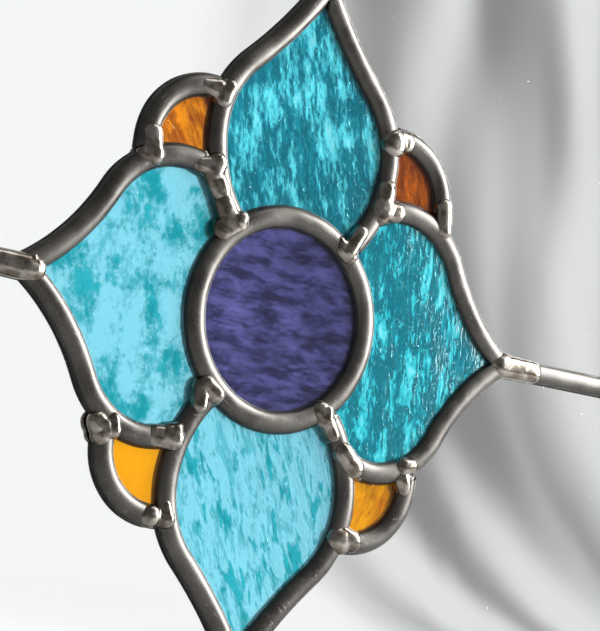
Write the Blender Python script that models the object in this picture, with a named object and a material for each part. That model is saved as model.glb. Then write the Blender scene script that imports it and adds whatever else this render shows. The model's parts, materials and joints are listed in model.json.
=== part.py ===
"""Leaded stained glass door panel: a flower of coloured glass set in clear glass.

Metres, +Z up. The panel stands upright in the XZ plane with its front towards -Y and the middle
of the glass at y = 0. The origin is the middle of the bottom edge. Every pane, every length of
lead came and every solder joint is an object of its own, and the flower is the same in all four
quarters, so each quarter's pieces are modelled once, at +X +Z, and mirrored.
"""

import math
from dataclasses import dataclass

import bmesh
import bpy
from mathutils import Vector
from mathutils.geometry import intersect_line_line_2d

MM = 0.001

# Panel and border
PANEL_WIDTH = 380 * MM
PANEL_HEIGHT = 440 * MM
BORDER_FACE = 12 * MM
BORDER_THICKNESS = 6.4 * MM
BORDER_HEART = 3 * MM
BORDER_CHAMFER = 0.5 * MM

# Lead came: an H section with two rounded leaves, joined by the heart
CAME_FACE = 8 * MM
LEAF_RISE = 2.4 * MM
CHANNEL_HEIGHT = 4 * MM
HEART_THICKNESS = 1.6 * MM

# Glass
GLASS_THICKNESS = 3 * MM
GLASS_EDGE_GAP = 0.5 * MM

# Centrelines of the flower's cames, from the middle of the roundel
RING_RADIUS = 36 * MM
CORNER_ARC_RADIUS = 22.8 * MM
CORNER_TAIL_ALONG = 3.75 * MM
CORNER_TAIL_DOWN = 3.25 * MM

# Fits: solid pieces stand clear of each other by TOUCH_GAP, and solder fills the seams
TOUCH_GAP = 0.3 * MM
SOLDER_WEB = 0.6 * MM
SOLDER_POST_WIDTH = 1.6 * MM

# Solder joints: how far they reach along each came, and how thick they lie on it
SOLDER_THICK = 1.3 * MM
SOLDER_BUTT_THICK = 1.1 * MM
SOLDER_THIN = 0.6 * MM
SOLDER_THROUGH_REACH = 5.5 * MM
SOLDER_BUTT_REACH = 6.5 * MM
SOLDER_TIP_REACH = 7 * MM
SOLDER_TIP_OVERRUN = 2.1 * MM
SOLDER_SLEEVE_REACH = 17 * MM

# Smoothness: how far a chord may lie inside its arc, and the points across a rounded leaf
ARC_ERROR = 0.45 * MM
WELD = 0.003 * MM
SHARP_ANGLE = math.radians(40)
LEAF_STEPS = 4


@dataclass(frozen=True)
class Petal:
    """One side of a petal, as three tangent arcs: inner belly, outer belly and the tip's curve.
    Narrowing is how much nearer to the axis the side's inner end lies than its widest place."""

    half_width: float
    widest_at: float
    narrowing: float
    outer_radius: float
    tip_radius: float
    tip_at: float


UPRIGHT_PETAL = Petal(
    half_width=37.25 * MM,
    widest_at=61.8 * MM,
    narrowing=14.6 * MM,
    outer_radius=35.43 * MM,
    tip_radius=178.5 * MM,
    tip_at=120.3 * MM,
)
SIDE_PETAL = Petal(
    half_width=47.75 * MM,
    widest_at=47.8 * MM,
    narrowing=4.9 * MM,
    outer_radius=29.2 * MM,
    tip_radius=80.6 * MM,
    tip_at=102.2 * MM,
)

# What follows from the sizes above
SEAM = SOLDER_WEB + 2 * TOUCH_GAP
CAME_HALF = CAME_FACE / 2
LEAF_BASE = CHANNEL_HEIGHT / 2
CAME_HALF_DEPTH = LEAF_BASE + LEAF_RISE
GLASS_INSET = HEART_THICKNESS / 2 + GLASS_EDGE_GAP
SOLDER_UNDERSIDE = LEAF_BASE
CUTTER_HALF_DEPTH = 3 * CAME_HALF_DEPTH
RUN_ON = 3 * CAME_FACE
HALF_WIDTH = PANEL_WIDTH / 2
HALF_HEIGHT = PANEL_HEIGHT / 2
MOTIF_CENTRE = Vector((0, 0, HALF_HEIGHT))

QUARTERS = {
    "top_right": (1, 1),
    "top_left": (-1, 1),
    "bottom_right": (1, -1),
    "bottom_left": (-1, -1),
}


# Centrelines, as stations along a path: each station is a point (x, z) and a unit tangent

def arc(centre, radius, start, end):
    """Stations along an arc, between two angles in radians from +X towards +Z."""
    step = 2 * math.acos(1 - ARC_ERROR / radius)
    count = max(2, math.ceil(abs(end - start) / step))
    turn = math.copysign(1, end - start)
    stations = []
    for index in range(count + 1):
        angle = start + (end - start) * index / count
        out = Vector((math.cos(angle), math.sin(angle)))
        stations.append((centre + radius * out, turn * Vector((-out.y, out.x))))
    return stations


def half_ring(middle):
    """The ring's centreline over the half turn about an angle, clockwise."""
    quarter = math.pi / 2
    centre = Vector((0, 0))
    return joined(
        arc(centre, RING_RADIUS, middle + quarter, middle),
        arc(centre, RING_RADIUS, middle, middle - quarter),
    )


def joined(*paths):
    """One path made of several that follow on from each other."""
    stations = list(paths[0])
    for path in paths[1:]:
        stations += path[1:]
    return stations


def straight(start, end):
    """A straight path between two points."""
    tangent = (end - start).normalized()
    return [(start, tangent), (end, tangent)]


def run_on(path, before, after):
    """The path, carried straight on past either end."""
    first, first_tangent = path[0]
    last, last_tangent = path[-1]
    longer = list(path)
    if before:
        longer = [(first - before * first_tangent, first_tangent)] + longer
    if after:
        longer = longer + [(last + after * last_tangent, last_tangent)]
    return longer


def swapped(path):
    """The path with across and along exchanged, for petals that lie on their side."""
    return [(point.yx, tangent.yx) for point, tangent in path]


def mirrored_path(path, sign_x, sign_z):
    """The path mirrored into another quarter."""
    sign = Vector((sign_x, sign_z))
    return [(point * sign, tangent * sign) for point, tangent in path]


def parallel(path, offset):
    """Points beside a path; a positive offset lies to the right of its direction."""
    return [point + offset * Vector((tangent.y, -tangent.x)) for point, tangent in path]


def circles_meet(centre_a, radius_a, centre_b, radius_b, side):
    """Where two circles cross; side 1 is to the left of the way from a to b, -1 to the right."""
    way = centre_b - centre_a
    distance = way.length
    along = (radius_a**2 - radius_b**2 + distance**2) / (2 * distance)
    across = math.sqrt(radius_a**2 - along**2)
    way.normalize()
    return centre_a + along * way + side * across * Vector((-way.y, way.x))


def angle_of(vector):
    """The angle of a vector from +X towards +Z."""
    return math.atan2(vector.y, vector.x)


def on_circle(centre, radius, level):
    """The point on a circle's +X side at a height."""
    return Vector((centre.x + math.sqrt(radius**2 - (level - centre.y) ** 2), level))


def inner_belly(petal, inner_end):
    """The centre and radius of a petal side's inner belly arc, as (across, along): it starts at
    the inner end and runs along the petal where that is widest."""
    along = petal.widest_at - inner_end.y
    radius = (along**2 + petal.narrowing**2) / (2 * petal.narrowing)
    return Vector((petal.half_width - radius, petal.widest_at)), radius


def outer_belly(petal):
    """The centre of a petal side's outer belly arc, as (across, along)."""
    return Vector((petal.half_width - petal.outer_radius, petal.widest_at))


def petal_side(petal, inner_end):
    """One side of a petal from its inner end to its tip, as (across, along)."""
    inner, inner_radius = inner_belly(petal, inner_end)
    outer = outer_belly(petal)
    tip = Vector((0, petal.tip_at))
    hollow = circles_meet(
        outer, petal.outer_radius + petal.tip_radius, tip, petal.tip_radius, -1
    )
    turn_at = angle_of(hollow - outer)
    return joined(
        arc(inner, inner_radius, angle_of(inner_end - inner), 0),
        arc(outer, petal.outer_radius, 0, turn_at),
        arc(hollow, petal.tip_radius, turn_at + math.pi, angle_of(tip - hollow) % math.tau),
    )


def meet(points_a, points_b):
    """Where two lines of points cross: the place in each as an index, and the point itself."""
    for index_a in range(len(points_a) - 1):
        for index_b in range(len(points_b) - 1):
            crossing = intersect_line_line_2d(
                points_a[index_a], points_a[index_a + 1], points_b[index_b], points_b[index_b + 1]
            )
            if crossing:
                return index_a, index_b, crossing
    raise ValueError("two edges of a pane do not meet")


def pane_outline(edges):
    """A closed outline from edges that each cross the next; each is trimmed at its crossings."""
    crossings = [meet(edge, edges[(number + 1) % len(edges)]) for number, edge in enumerate(edges)]
    outline = []
    for number, edge in enumerate(edges):
        _, begin, corner = crossings[number - 1]
        finish = crossings[number][0]
        outline.append(corner)
        if begin <= finish:
            outline += edge[begin + 1:finish + 1]
        else:
            outline += edge[finish + 1:begin + 1][::-1]
    return outline


def point_along(path, distance):
    """The station at a distance along a path from its start."""
    for (point, tangent), (after, tangent_after) in zip(path, path[1:]):
        length = (after - point).length
        if distance <= length or (after, tangent_after) == path[-1]:
            share = distance / length
            return point.lerp(after, share), tangent.lerp(tangent_after, share).normalized()
        distance -= length
    return path[-1]


def distance_to(path, spot):
    """How far along a path its nearest point to a spot lies."""
    best = (math.inf, 0)
    travelled = 0
    for (point, _), (after, _) in zip(path, path[1:]):
        way = after - point
        share = min(1, max(0, (spot - point).dot(way) / way.length_squared))
        best = min(best, ((point + share * way - spot).length, travelled + share * way.length))
        travelled += way.length
    return best[1]


# Sections, as points (across, depth), anticlockwise

def leaf(half_width, base, rise):
    """The front leaf's rounded outline, from one lip to the other."""
    points = []
    for index in range(LEAF_STEPS + 1):
        angle = math.pi * index / LEAF_STEPS
        points.append((half_width * math.cos(angle), base + rise * math.sin(angle)))
    return points


def came_section():
    """The H section: two rounded leaves, with a channel for glass on either side."""
    top = leaf(CAME_HALF, LEAF_BASE, LEAF_RISE)
    heart = HEART_THICKNESS / 2
    left = [(-heart, LEAF_BASE), (-heart, -LEAF_BASE)]
    bottom = [(-across, -depth) for across, depth in top]
    right = [(-across, -depth) for across, depth in left]
    return top + left + bottom + right


def envelope_section(growth):
    """The came's outline with its channels filled in, grown all round."""
    top = leaf(CAME_HALF + growth, LEAF_BASE, LEAF_RISE + growth)
    return top + [(-across, -depth) for across, depth in top]


def slab_section(half_width):
    """A plain upright strip, for cutting along a came."""
    return [
        (half_width, -CUTTER_HALF_DEPTH),
        (half_width, CUTTER_HALF_DEPTH),
        (-half_width, CUTTER_HALF_DEPTH),
        (-half_width, -CUTTER_HALF_DEPTH),
    ]


def border_section():
    """The flat border lead: a channel for glass on the inner side (+across), solid outside."""
    half_face = BORDER_FACE / 2
    half_depth = BORDER_THICKNESS / 2
    heart_inner = -half_face + BORDER_HEART
    upper = [
        (heart_inner, LEAF_BASE),
        (half_face, LEAF_BASE),
        (half_face, half_depth - BORDER_CHAMFER),
        (half_face - BORDER_CHAMFER, half_depth),
        (-half_face, half_depth),
    ]
    lower = [(across, -depth) for across, depth in reversed(upper)]
    return lower + upper


# Meshes

def sweep(path, sections, closed=False):
    """A solid swept along a path in the panel's plane; sections is one for each station."""
    bm = bmesh.new()
    rings = []
    for (point, tangent), section in zip(path, sections):
        right = Vector((tangent.y, -tangent.x))
        ring = []
        for across, depth in section:
            spot = point + across * right
            ring.append(bm.verts.new((spot.x, depth, spot.y)))
        rings.append(ring)
    pairs = list(zip(rings, rings[1:]))
    if closed:
        pairs.append((rings[-1], rings[0]))
    else:
        bm.faces.new(rings[0])
        bm.faces.new(rings[-1][::-1])
    for ring, after in pairs:
        size = len(ring)
        for index in range(size):
            following = (index + 1) % size
            bm.faces.new((ring[index], after[index], after[following], ring[following]))
    return finished(bm, "sweep")


def plate(outline, thickness):
    """A flat plate of the outline (x, z), centred on y = 0."""
    bm = bmesh.new()
    corners = [bm.verts.new((point.x, -thickness / 2, point.y)) for point in outline]
    face = bm.faces.new(corners)
    grown = bmesh.ops.extrude_face_region(bm, geom=[face])
    moved = [item for item in grown["geom"] if isinstance(item, bmesh.types.BMVert)]
    bmesh.ops.translate(bm, vec=(0, thickness, 0), verts=moved)
    return finished(bm, "plate")


def finished(bm, name):
    """The mesh of a bmesh, with its faces pointing out."""
    bmesh.ops.recalc_face_normals(bm, faces=bm.faces)
    mesh = bpy.data.meshes.new(name)
    bm.to_mesh(mesh)
    bm.free()
    return mesh


def cut_flat(mesh, point, normal):
    """The mesh with all that lies beyond a plane cut away, and the cut closed."""
    bm = bmesh.new()
    bm.from_mesh(mesh)
    bmesh.ops.bisect_plane(
        bm,
        geom=[*bm.verts, *bm.edges, *bm.faces],
        plane_co=point,
        plane_no=normal,
        clear_outer=True,
    )
    rim = [edge for edge in bm.edges if edge.is_boundary]
    bmesh.ops.contextual_create(bm, geom=rim)
    return finished(bm, mesh.name)


def combined(mesh, operation, tools):
    """The mesh with each tool joined on or cut away by an exact Boolean."""
    base = bpy.data.objects.new("work", mesh)
    bpy.context.scene.collection.objects.link(base)
    helpers = []
    for tool in tools:
        helper = bpy.data.objects.new("tool", tool)
        helper.hide_render = True
        helper.display_type = "WIRE"
        bpy.context.scene.collection.objects.link(helper)
        helpers.append(helper)
        boolean = base.modifiers.new("cut", "BOOLEAN")
        boolean.operation = operation
        boolean.solver = "EXACT"
        boolean.object = helper
    graph = bpy.context.evaluated_depsgraph_get()
    result = bpy.data.meshes.new_from_object(base.evaluated_get(graph))
    for worker in [base, *helpers]:
        bpy.data.objects.remove(worker)
    bm = bmesh.new()
    bm.from_mesh(result)
    bmesh.ops.remove_doubles(bm, verts=bm.verts, dist=WELD)
    bmesh.ops.dissolve_degenerate(bm, edges=bm.edges, dist=WELD)
    bm.to_mesh(result)
    bm.free()
    return result


def mirrored(mesh, sign_x, sign_z):
    """A copy of a mesh in another quarter, with its faces still pointing out."""
    bm = bmesh.new()
    bm.from_mesh(mesh)
    bmesh.ops.scale(bm, vec=(sign_x, 1, sign_z), verts=bm.verts)
    if sign_x * sign_z < 0:
        bmesh.ops.reverse_faces(bm, faces=bm.faces)
    copy = bpy.data.meshes.new(mesh.name)
    bm.to_mesh(copy)
    bm.free()
    return copy


def laid_down(mesh):
    """A copy of a mesh with X and Z exchanged, which turns an upright petal's piece to a lying
    one's."""
    bm = bmesh.new()
    bm.from_mesh(mesh)
    for vert in bm.verts:
        vert.co = vert.co.zyx
    bmesh.ops.reverse_faces(bm, faces=bm.faces)
    copy = bpy.data.meshes.new(mesh.name)
    bm.to_mesh(copy)
    bm.free()
    return copy


def symmetrical(mesh):
    """The +X half of a mesh, mirrored onto the other side."""
    bm = bmesh.new()
    bm.from_mesh(mesh)
    bmesh.ops.bisect_plane(
        bm,
        geom=[*bm.verts, *bm.edges, *bm.faces],
        plane_co=(0, 0, 0),
        plane_no=(-1, 0, 0),
        clear_outer=True,
    )
    bmesh.ops.mirror(
        bm, geom=[*bm.verts, *bm.edges, *bm.faces], axis="X", merge_dist=WELD
    )
    return finished(bm, mesh.name)


# Materials and placing

@dataclass(frozen=True)
class Finish:
    """A plain surface: its colour, roughness and metallic value, and how clear it is."""

    name: str
    colour: tuple
    roughness: float
    metallic: float
    transmission: float = 0.0

    def material(self):
        """The finish as a Principled material, made once."""
        material = bpy.data.materials.get(self.name)
        if material is None:
            material = bpy.data.materials.new(self.name)
            material.use_nodes = True
            shader = material.node_tree.nodes["Principled BSDF"]
            shader.inputs["Base Color"].default_value = (*self.colour, 1)
            shader.inputs["Roughness"].default_value = self.roughness
            shader.inputs["Metallic"].default_value = self.metallic
            shader.inputs["Transmission Weight"].default_value = self.transmission
        return material


LEAD = Finish("lead", (0.10, 0.09, 0.08), 0.38, 1.0)
SOLDER = Finish("solder", (0.36, 0.33, 0.29), 0.22, 1.0)
PURPLE_GLASS = Finish("purple_glass", (0.10, 0.085, 0.33), 0.1, 0.0, 0.8)
TURQUOISE_GLASS = Finish("turquoise_glass", (0.03, 0.42, 0.55), 0.1, 0.0, 0.8)
AMBER_GLASS = Finish("amber_glass", (0.85, 0.30, 0.02), 0.1, 0.0, 0.8)
CLEAR_GLASS = Finish("clear_glass", (0.95, 0.97, 0.96), 0.05, 0.0, 1.0)


def place(name, mesh, finish):
    """Put a finished piece in the panel, under its own name and with its own material."""
    piece = bpy.data.objects.new(name, mesh)
    mesh.name = name
    mesh.materials.clear()
    mesh.materials.append(finish.material())
    mesh.shade_smooth()
    mesh.set_sharp_from_angle(angle=SHARP_ANGLE)
    piece.location = MOTIF_CENTRE
    bpy.context.scene.collection.objects.link(piece)
    return piece


def place_in_quarters(pattern, mesh, finish):
    """Put a piece of the +X +Z quarter in all four; the pattern takes each quarter's words."""
    for quarter, (sign_x, sign_z) in QUARTERS.items():
        high_low, left_right = quarter.split("_")
        name = pattern.format(high_low=high_low, left_right=left_right)
        place(name, mirrored(mesh, sign_x, sign_z), finish)


# The flower's centrelines in the +X +Z quarter

@dataclass(frozen=True)
class Flower:
    """The centrelines of one quarter, each running outwards from the middle."""

    ring: list
    upright_side: list
    lying_side: list
    corner: list

    @classmethod
    def drawn(cls):
        """Work out the centrelines from the driving sizes."""
        ring_end_at = UPRIGHT_PETAL.half_width - UPRIGHT_PETAL.narrowing
        ring_end = on_circle(Vector((0, 0)), RING_RADIUS, ring_end_at).yx
        butt_end_at = SIDE_PETAL.half_width - SIDE_PETAL.narrowing
        butt_end = on_circle(*inner_belly(UPRIGHT_PETAL, ring_end), butt_end_at)
        arc_centre = Vector((
            UPRIGHT_PETAL.half_width + CORNER_TAIL_ALONG,
            SIDE_PETAL.half_width + CORNER_TAIL_DOWN,
        ))
        high_end = on_circle(
            outer_belly(UPRIGHT_PETAL),
            UPRIGHT_PETAL.outer_radius,
            arc_centre.y + CORNER_ARC_RADIUS,
        )
        low_end = on_circle(
            outer_belly(SIDE_PETAL), SIDE_PETAL.outer_radius, arc_centre.x + CORNER_ARC_RADIUS
        ).yx
        bend = arc(arc_centre, CORNER_ARC_RADIUS, math.pi / 2, 0)
        return cls(
            ring=joined(half_ring(math.pi / 2), half_ring(-math.pi / 2))[:-1],
            upright_side=petal_side(UPRIGHT_PETAL, ring_end),
            lying_side=swapped(petal_side(SIDE_PETAL, butt_end.yx)),
            corner=joined(
                straight(high_end, bend[0][0]), bend, straight(bend[-1][0], low_end)
            ),
        )


def uniform(path, section):
    """The same section at every station of a path."""
    return [section] * len(path)


def swept(path, section):
    """A solid of one section along a path, just as long as the path."""
    return sweep(path, uniform(path, section))


def cutting_strip(path, half_width):
    """A strip along a came's path, carried on past both ends."""
    return swept(run_on(path, RUN_ON, RUN_ON), slab_section(half_width))


def cutting_disc(flower, radius):
    """A disc over the ring and all that it holds."""
    return plate(parallel(flower.ring, RING_RADIUS - radius), 2 * CUTTER_HALF_DEPTH)


# Cames

def build_ring_came(flower):
    """The closed came round the roundel."""
    ring = sweep(flower.ring, uniform(flower.ring, came_section()), closed=True)
    place("ring_came", ring, LEAD)


def build_petal_cames(flower):
    """The petals' sides: the upright ones from ring to tip, the lying ones butted onto them."""
    upright = swept(run_on(flower.upright_side, 0, RUN_ON), came_section())
    upright = cut_flat(upright, (SEAM / 2, 0, 0), (-1, 0, 0))
    disc = cutting_disc(flower, RING_RADIUS + CAME_HALF + SEAM)
    upright = combined(upright, "DIFFERENCE", [disc])
    place_in_quarters("petal_came_{high_low}_{left_right}", upright, LEAD)

    lying = swept(run_on(flower.lying_side, 0, RUN_ON), came_section())
    lying = cut_flat(lying, (0, 0, SEAM / 2), (0, 0, -1))
    strip = cutting_strip(flower.upright_side, CAME_HALF + SEAM)
    lying = combined(lying, "DIFFERENCE", [strip])
    place_in_quarters("petal_came_{left_right}_{high_low}", lying, LEAD)


def build_corner_cames(flower):
    """The arcs round the amber panes, butted onto the petals' sides at both ends."""
    strips = [
        cutting_strip(flower.upright_side, CAME_HALF + SEAM),
        cutting_strip(flower.lying_side, CAME_HALF + SEAM),
    ]
    corner = combined(swept(flower.corner, came_section()), "DIFFERENCE", strips)
    place_in_quarters("corner_came_{high_low}_{left_right}", corner, LEAD)


def over_tip(side, half_width):
    """A block over a petal's tip, bounded by lines outside its two sides' centrelines."""
    near = beside(side, half_width)
    far = beside(mirrored_path(side, -1, 1), -half_width)
    reach = max(PANEL_WIDTH, PANEL_HEIGHT)
    level = side[-1][0].y / 2
    base = [Vector((-reach, level)), Vector((reach, level))]
    return plate(pane_outline([near, far, base]), 2 * CUTTER_HALF_DEPTH)


def straight_lead(side, half_size):
    """The straight lead above a petal's tip, notched over the tip and butted to the border."""
    start = side[-1][0]
    end = Vector((0, half_size - BORDER_FACE - TOUCH_GAP))
    lead = swept(straight(start, end), came_section())
    return combined(lead, "DIFFERENCE", [over_tip(side, CAME_HALF + SEAM)])


def build_straight_cames(flower):
    """The straight leads from the petals' tips to the border."""
    above = straight_lead(flower.upright_side, HALF_HEIGHT)
    place("straight_came_top", above, LEAD)
    place("straight_came_bottom", mirrored(above, 1, -1), LEAD)
    beyond = laid_down(straight_lead(swapped(flower.lying_side), HALF_WIDTH))
    place("straight_came_right", beyond, LEAD)
    place("straight_came_left", mirrored(beyond, -1, 1), LEAD)


def build_border_cames():
    """The flat leads round the edge, mitred at the corners."""
    inset = BORDER_FACE / 2
    corner = Vector((HALF_WIDTH, 0, HALF_HEIGHT))
    fall = Vector((1, 0, -1)).normalized()
    top = swept(
        straight(
            Vector((-HALF_WIDTH, HALF_HEIGHT - inset)), Vector((HALF_WIDTH, HALF_HEIGHT - inset))
        ),
        border_section(),
    )
    right = swept(
        straight(
            Vector((HALF_WIDTH - inset, HALF_HEIGHT)), Vector((HALF_WIDTH - inset, -HALF_HEIGHT))
        ),
        border_section(),
    )
    for sign in (1, -1):
        end = Vector((sign * corner.x, 0, corner.z))
        slope = Vector((sign * fall.x, 0, fall.z))
        top = cut_flat(top, end - slope * TOUCH_GAP / 2, slope)
        end = Vector((corner.x, 0, sign * corner.z))
        slope = Vector((-fall.x, 0, -sign * fall.z))
        right = cut_flat(right, end - slope * TOUCH_GAP / 2, slope)
    place("border_came_top", top, LEAD)
    place("border_came_bottom", mirrored(top, 1, -1), LEAD)
    place("border_came_right", right, LEAD)
    place("border_came_left", mirrored(right, -1, 1), LEAD)


# Glass

def pane(name, edges, finish):
    """One pane of glass, trimmed to the edges that bound it."""
    place(name, plate(pane_outline(edges), GLASS_THICKNESS), finish)


def beside(path, offset):
    """The line beside a path, carried on past both ends."""
    return parallel(run_on(path, RUN_ON, RUN_ON), offset)


def build_roundel(flower):
    """The round pane in the middle."""
    outline = parallel(flower.ring, GLASS_INSET)
    place("roundel_glass", plate(outline, GLASS_THICKNESS), PURPLE_GLASS)


def build_petal_panes(flower):
    """The four petals: the upright ones are bounded by their sides alone, the lying ones also
    by the upright petals' sides, near the ring."""
    for name, turn in (("top", 1), ("bottom", -1)):
        sides = [
            beside(mirrored_path(flower.upright_side, sign, turn), -sign * turn * GLASS_INSET)
            for sign in (1, -1)
        ]
        ring = parallel(half_ring(turn * math.pi / 2), -GLASS_INSET)
        pane(f"petal_glass_{name}", [ring, *sides], TURQUOISE_GLASS)
    for name, turn in (("right", 1), ("left", -1)):
        high, low = (
            (
                beside(mirrored_path(flower.upright_side, turn, sign), sign * turn * GLASS_INSET),
                beside(mirrored_path(flower.lying_side, turn, sign), sign * turn * GLASS_INSET),
            )
            for sign in (1, -1)
        )
        ring = parallel(half_ring((1 - turn) * math.pi / 2), -GLASS_INSET)
        pane(f"petal_glass_{name}", [ring, high[0], high[1], low[1], low[0]], TURQUOISE_GLASS)


def build_corner_panes(flower):
    """The small panes between the petals and the corner arcs."""
    edges = [
        beside(flower.upright_side, GLASS_INSET),
        beside(flower.corner, GLASS_INSET),
        beside(flower.lying_side, -GLASS_INSET),
    ]
    glass = plate(pane_outline(edges), GLASS_THICKNESS)
    place_in_quarters("corner_glass_{high_low}_{left_right}", glass, AMBER_GLASS)


def build_clear_panes(flower):
    """The clear panes between the flower, the straight leads and the border."""
    far_x = HALF_WIDTH - BORDER_HEART - GLASS_EDGE_GAP
    far_z = HALF_HEIGHT - BORDER_HEART - GLASS_EDGE_GAP
    edges = [
        [Vector((GLASS_INSET, 0)), Vector((GLASS_INSET, HALF_HEIGHT))],
        [Vector((0, far_z)), Vector((HALF_WIDTH, far_z))],
        [Vector((far_x, HALF_HEIGHT)), Vector((far_x, 0))],
        [Vector((HALF_WIDTH, GLASS_INSET)), Vector((0, GLASS_INSET))],
        beside(flower.lying_side, -GLASS_INSET),
        beside(flower.corner, -GLASS_INSET),
        beside(flower.upright_side, GLASS_INSET),
    ]
    glass = plate(pane_outline(edges), GLASS_THICKNESS)
    place_in_quarters("clear_glass_{high_low}_{left_right}", glass, CLEAR_GLASS)


# Solder: each joint is one bead, laid over the cames front and back and run through the seam

def solder_arm(path, layers):
    """Solder lying along a came; layers gives how far along it lies how thick."""
    stations = [point_along(path, distance) for distance, _ in layers]
    return sweep(stations, [envelope_section(growth) for _, growth in layers])


def rectangle(centre, direction, half_along, half_across):
    """The corners of a rectangle turned to a direction."""
    along = direction * half_along
    across = Vector((-direction.y, direction.x)) * half_across
    return [
        centre + along + across,
        centre - along + across,
        centre - along - across,
        centre + along - across,
    ]


def solder_bead(arms, envelopes, post_at, post_through):
    """The bead of a joint: its arms, cleared of the cames and of the glass between the leaves,
    but for a post that crosses the seam and joins the front of the bead to its back."""
    far = 2 * SOLDER_SLEEVE_REACH
    clearing = plate(rectangle(post_at, post_through, far, far), 2 * SOLDER_UNDERSIDE)
    window = plate(
        rectangle(post_at, post_through, SEAM, SOLDER_POST_WIDTH / 2), 2 * CAME_HALF_DEPTH
    )
    clearing = combined(clearing, "DIFFERENCE", [window])
    bead = combined(arms[0], "UNION", arms[1:])
    return combined(bead, "DIFFERENCE", [*envelopes, clearing])


def envelope(path):
    """All that a came takes up, with the clearance that solder keeps from it."""
    return swept(run_on(path, RUN_ON, RUN_ON), envelope_section(TOUCH_GAP))


def butt_bead(through, through_strip, through_envelope, butt, away):
    """The bead where a came butts onto one that runs through; away is the side it comes from."""
    seam_line = parallel(through, away * (CAME_HALF + SEAM / 2))
    _, _, post_at = meet(seam_line, [point for point, _ in butt])
    seam_distance = distance_to(butt, post_at)
    crossing = distance_to(through, post_at)
    arms = [
        solder_arm(through, [
            (crossing - SOLDER_THROUGH_REACH, SOLDER_THIN),
            (crossing, SOLDER_THICK),
            (crossing + SOLDER_THROUGH_REACH, SOLDER_THIN),
        ]),
        solder_arm(butt, [
            (0, SOLDER_BUTT_THICK),
            (seam_distance, SOLDER_BUTT_THICK),
            (seam_distance + SOLDER_BUTT_REACH, SOLDER_THIN),
        ]),
    ]
    butt_envelope = swept(butt, envelope_section(TOUCH_GAP))
    butt_envelope = combined(butt_envelope, "DIFFERENCE", [through_strip])
    direction = point_along(butt, seam_distance)[1]
    return solder_bead(arms, [through_envelope, butt_envelope], post_at, direction)


def tip_bead(side, half_size):
    """The bead at a petal's tip: along both sides, and a sleeve on the straight lead. One half
    is made, and mirrored."""
    tip = side[-1][0]
    length = distance_to(side, tip)
    arm = solder_arm(run_on(side, 0, RUN_ON), [
        (length - SOLDER_TIP_REACH, SOLDER_THIN),
        (length + SOLDER_TIP_OVERRUN, SOLDER_BUTT_THICK),
    ])
    lead = straight(tip, Vector((0, half_size)))
    sleeve = solder_arm(run_on(lead, SOLDER_TIP_OVERRUN, 0), [
        (0, SOLDER_BUTT_THICK),
        (CAME_FACE, SOLDER_THICK),
        (SOLDER_SLEEVE_REACH, SOLDER_THIN),
    ])
    side_envelope = cut_flat(envelope(side), (SOLDER_WEB / 2, 0, 0), (-1, 0, 0))
    lead_envelope = combined(
        swept(lead, envelope_section(TOUCH_GAP)),
        "DIFFERENCE",
        [over_tip(side, CAME_HALF + TOUCH_GAP + SOLDER_WEB)],
    )
    bead = solder_bead([sleeve, arm], [side_envelope, lead_envelope], tip, Vector((1, 0)))
    return symmetrical(bead)


def build_solder(flower):
    """All the soldered joints of the flower."""
    strip_half = CAME_HALF + TOUCH_GAP + SOLDER_WEB
    through = {
        "ring": (half_ring(0), cutting_disc(flower, RING_RADIUS + strip_half), -1),
        "upright": (flower.upright_side, cutting_strip(flower.upright_side, strip_half), 1),
        "lying": (flower.lying_side, cutting_strip(flower.lying_side, strip_half), -1),
    }
    corner_back = [(point, -tangent) for point, tangent in reversed(flower.corner)]
    for pattern, carrier, butt in (
        ("solder_ring_{high_low}_{left_right}", "ring", flower.upright_side),
        ("solder_petal_{high_low}_{left_right}", "upright", flower.lying_side),
        ("solder_arc_high_{high_low}_{left_right}", "upright", flower.corner),
        ("solder_arc_low_{high_low}_{left_right}", "lying", corner_back),
    ):
        path, strip, away = through[carrier]
        bead = butt_bead(path, strip, envelope(path), butt, away)
        place_in_quarters(pattern, bead, SOLDER)

    top = tip_bead(flower.upright_side, HALF_HEIGHT)
    place("solder_tip_top", top, SOLDER)
    place("solder_tip_bottom", mirrored(top, 1, -1), SOLDER)
    right = laid_down(tip_bead(swapped(flower.lying_side), HALF_WIDTH))
    place("solder_tip_right", right, SOLDER)
    place("solder_tip_left", mirrored(right, -1, 1), SOLDER)


def main():
    """Model the whole panel."""
    for old in list(bpy.data.objects):
        bpy.data.objects.remove(old)
    flower = Flower.drawn()
    build_ring_came(flower)
    build_petal_cames(flower)
    build_corner_cames(flower)
    build_straight_cames(flower)
    build_border_cames()
    build_roundel(flower)
    build_petal_panes(flower)
    build_corner_panes(flower)
    build_clear_panes(flower)
    build_solder(flower)


main()
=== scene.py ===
"""Looks of a leaded stained glass door panel: a glass flower in soldered lead, set in clear glass.

Metres, +Z up. The panel stands upright in the XZ plane, its front towards -Y and the middle of its
glass at y = 0. The lead, glass and solder are modelled round the flower's centrelines, which are
worked out once for the +X +Z quarter and mirrored. Distances across the flower are measured from
the middle of the roundel.
"""

from __future__ import annotations

import json
import logging
import math
from collections.abc import Iterator, Sequence
from contextlib import contextmanager
from dataclasses import dataclass
from enum import Enum

import bpy
from mathutils import Matrix, Vector, noise

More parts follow.
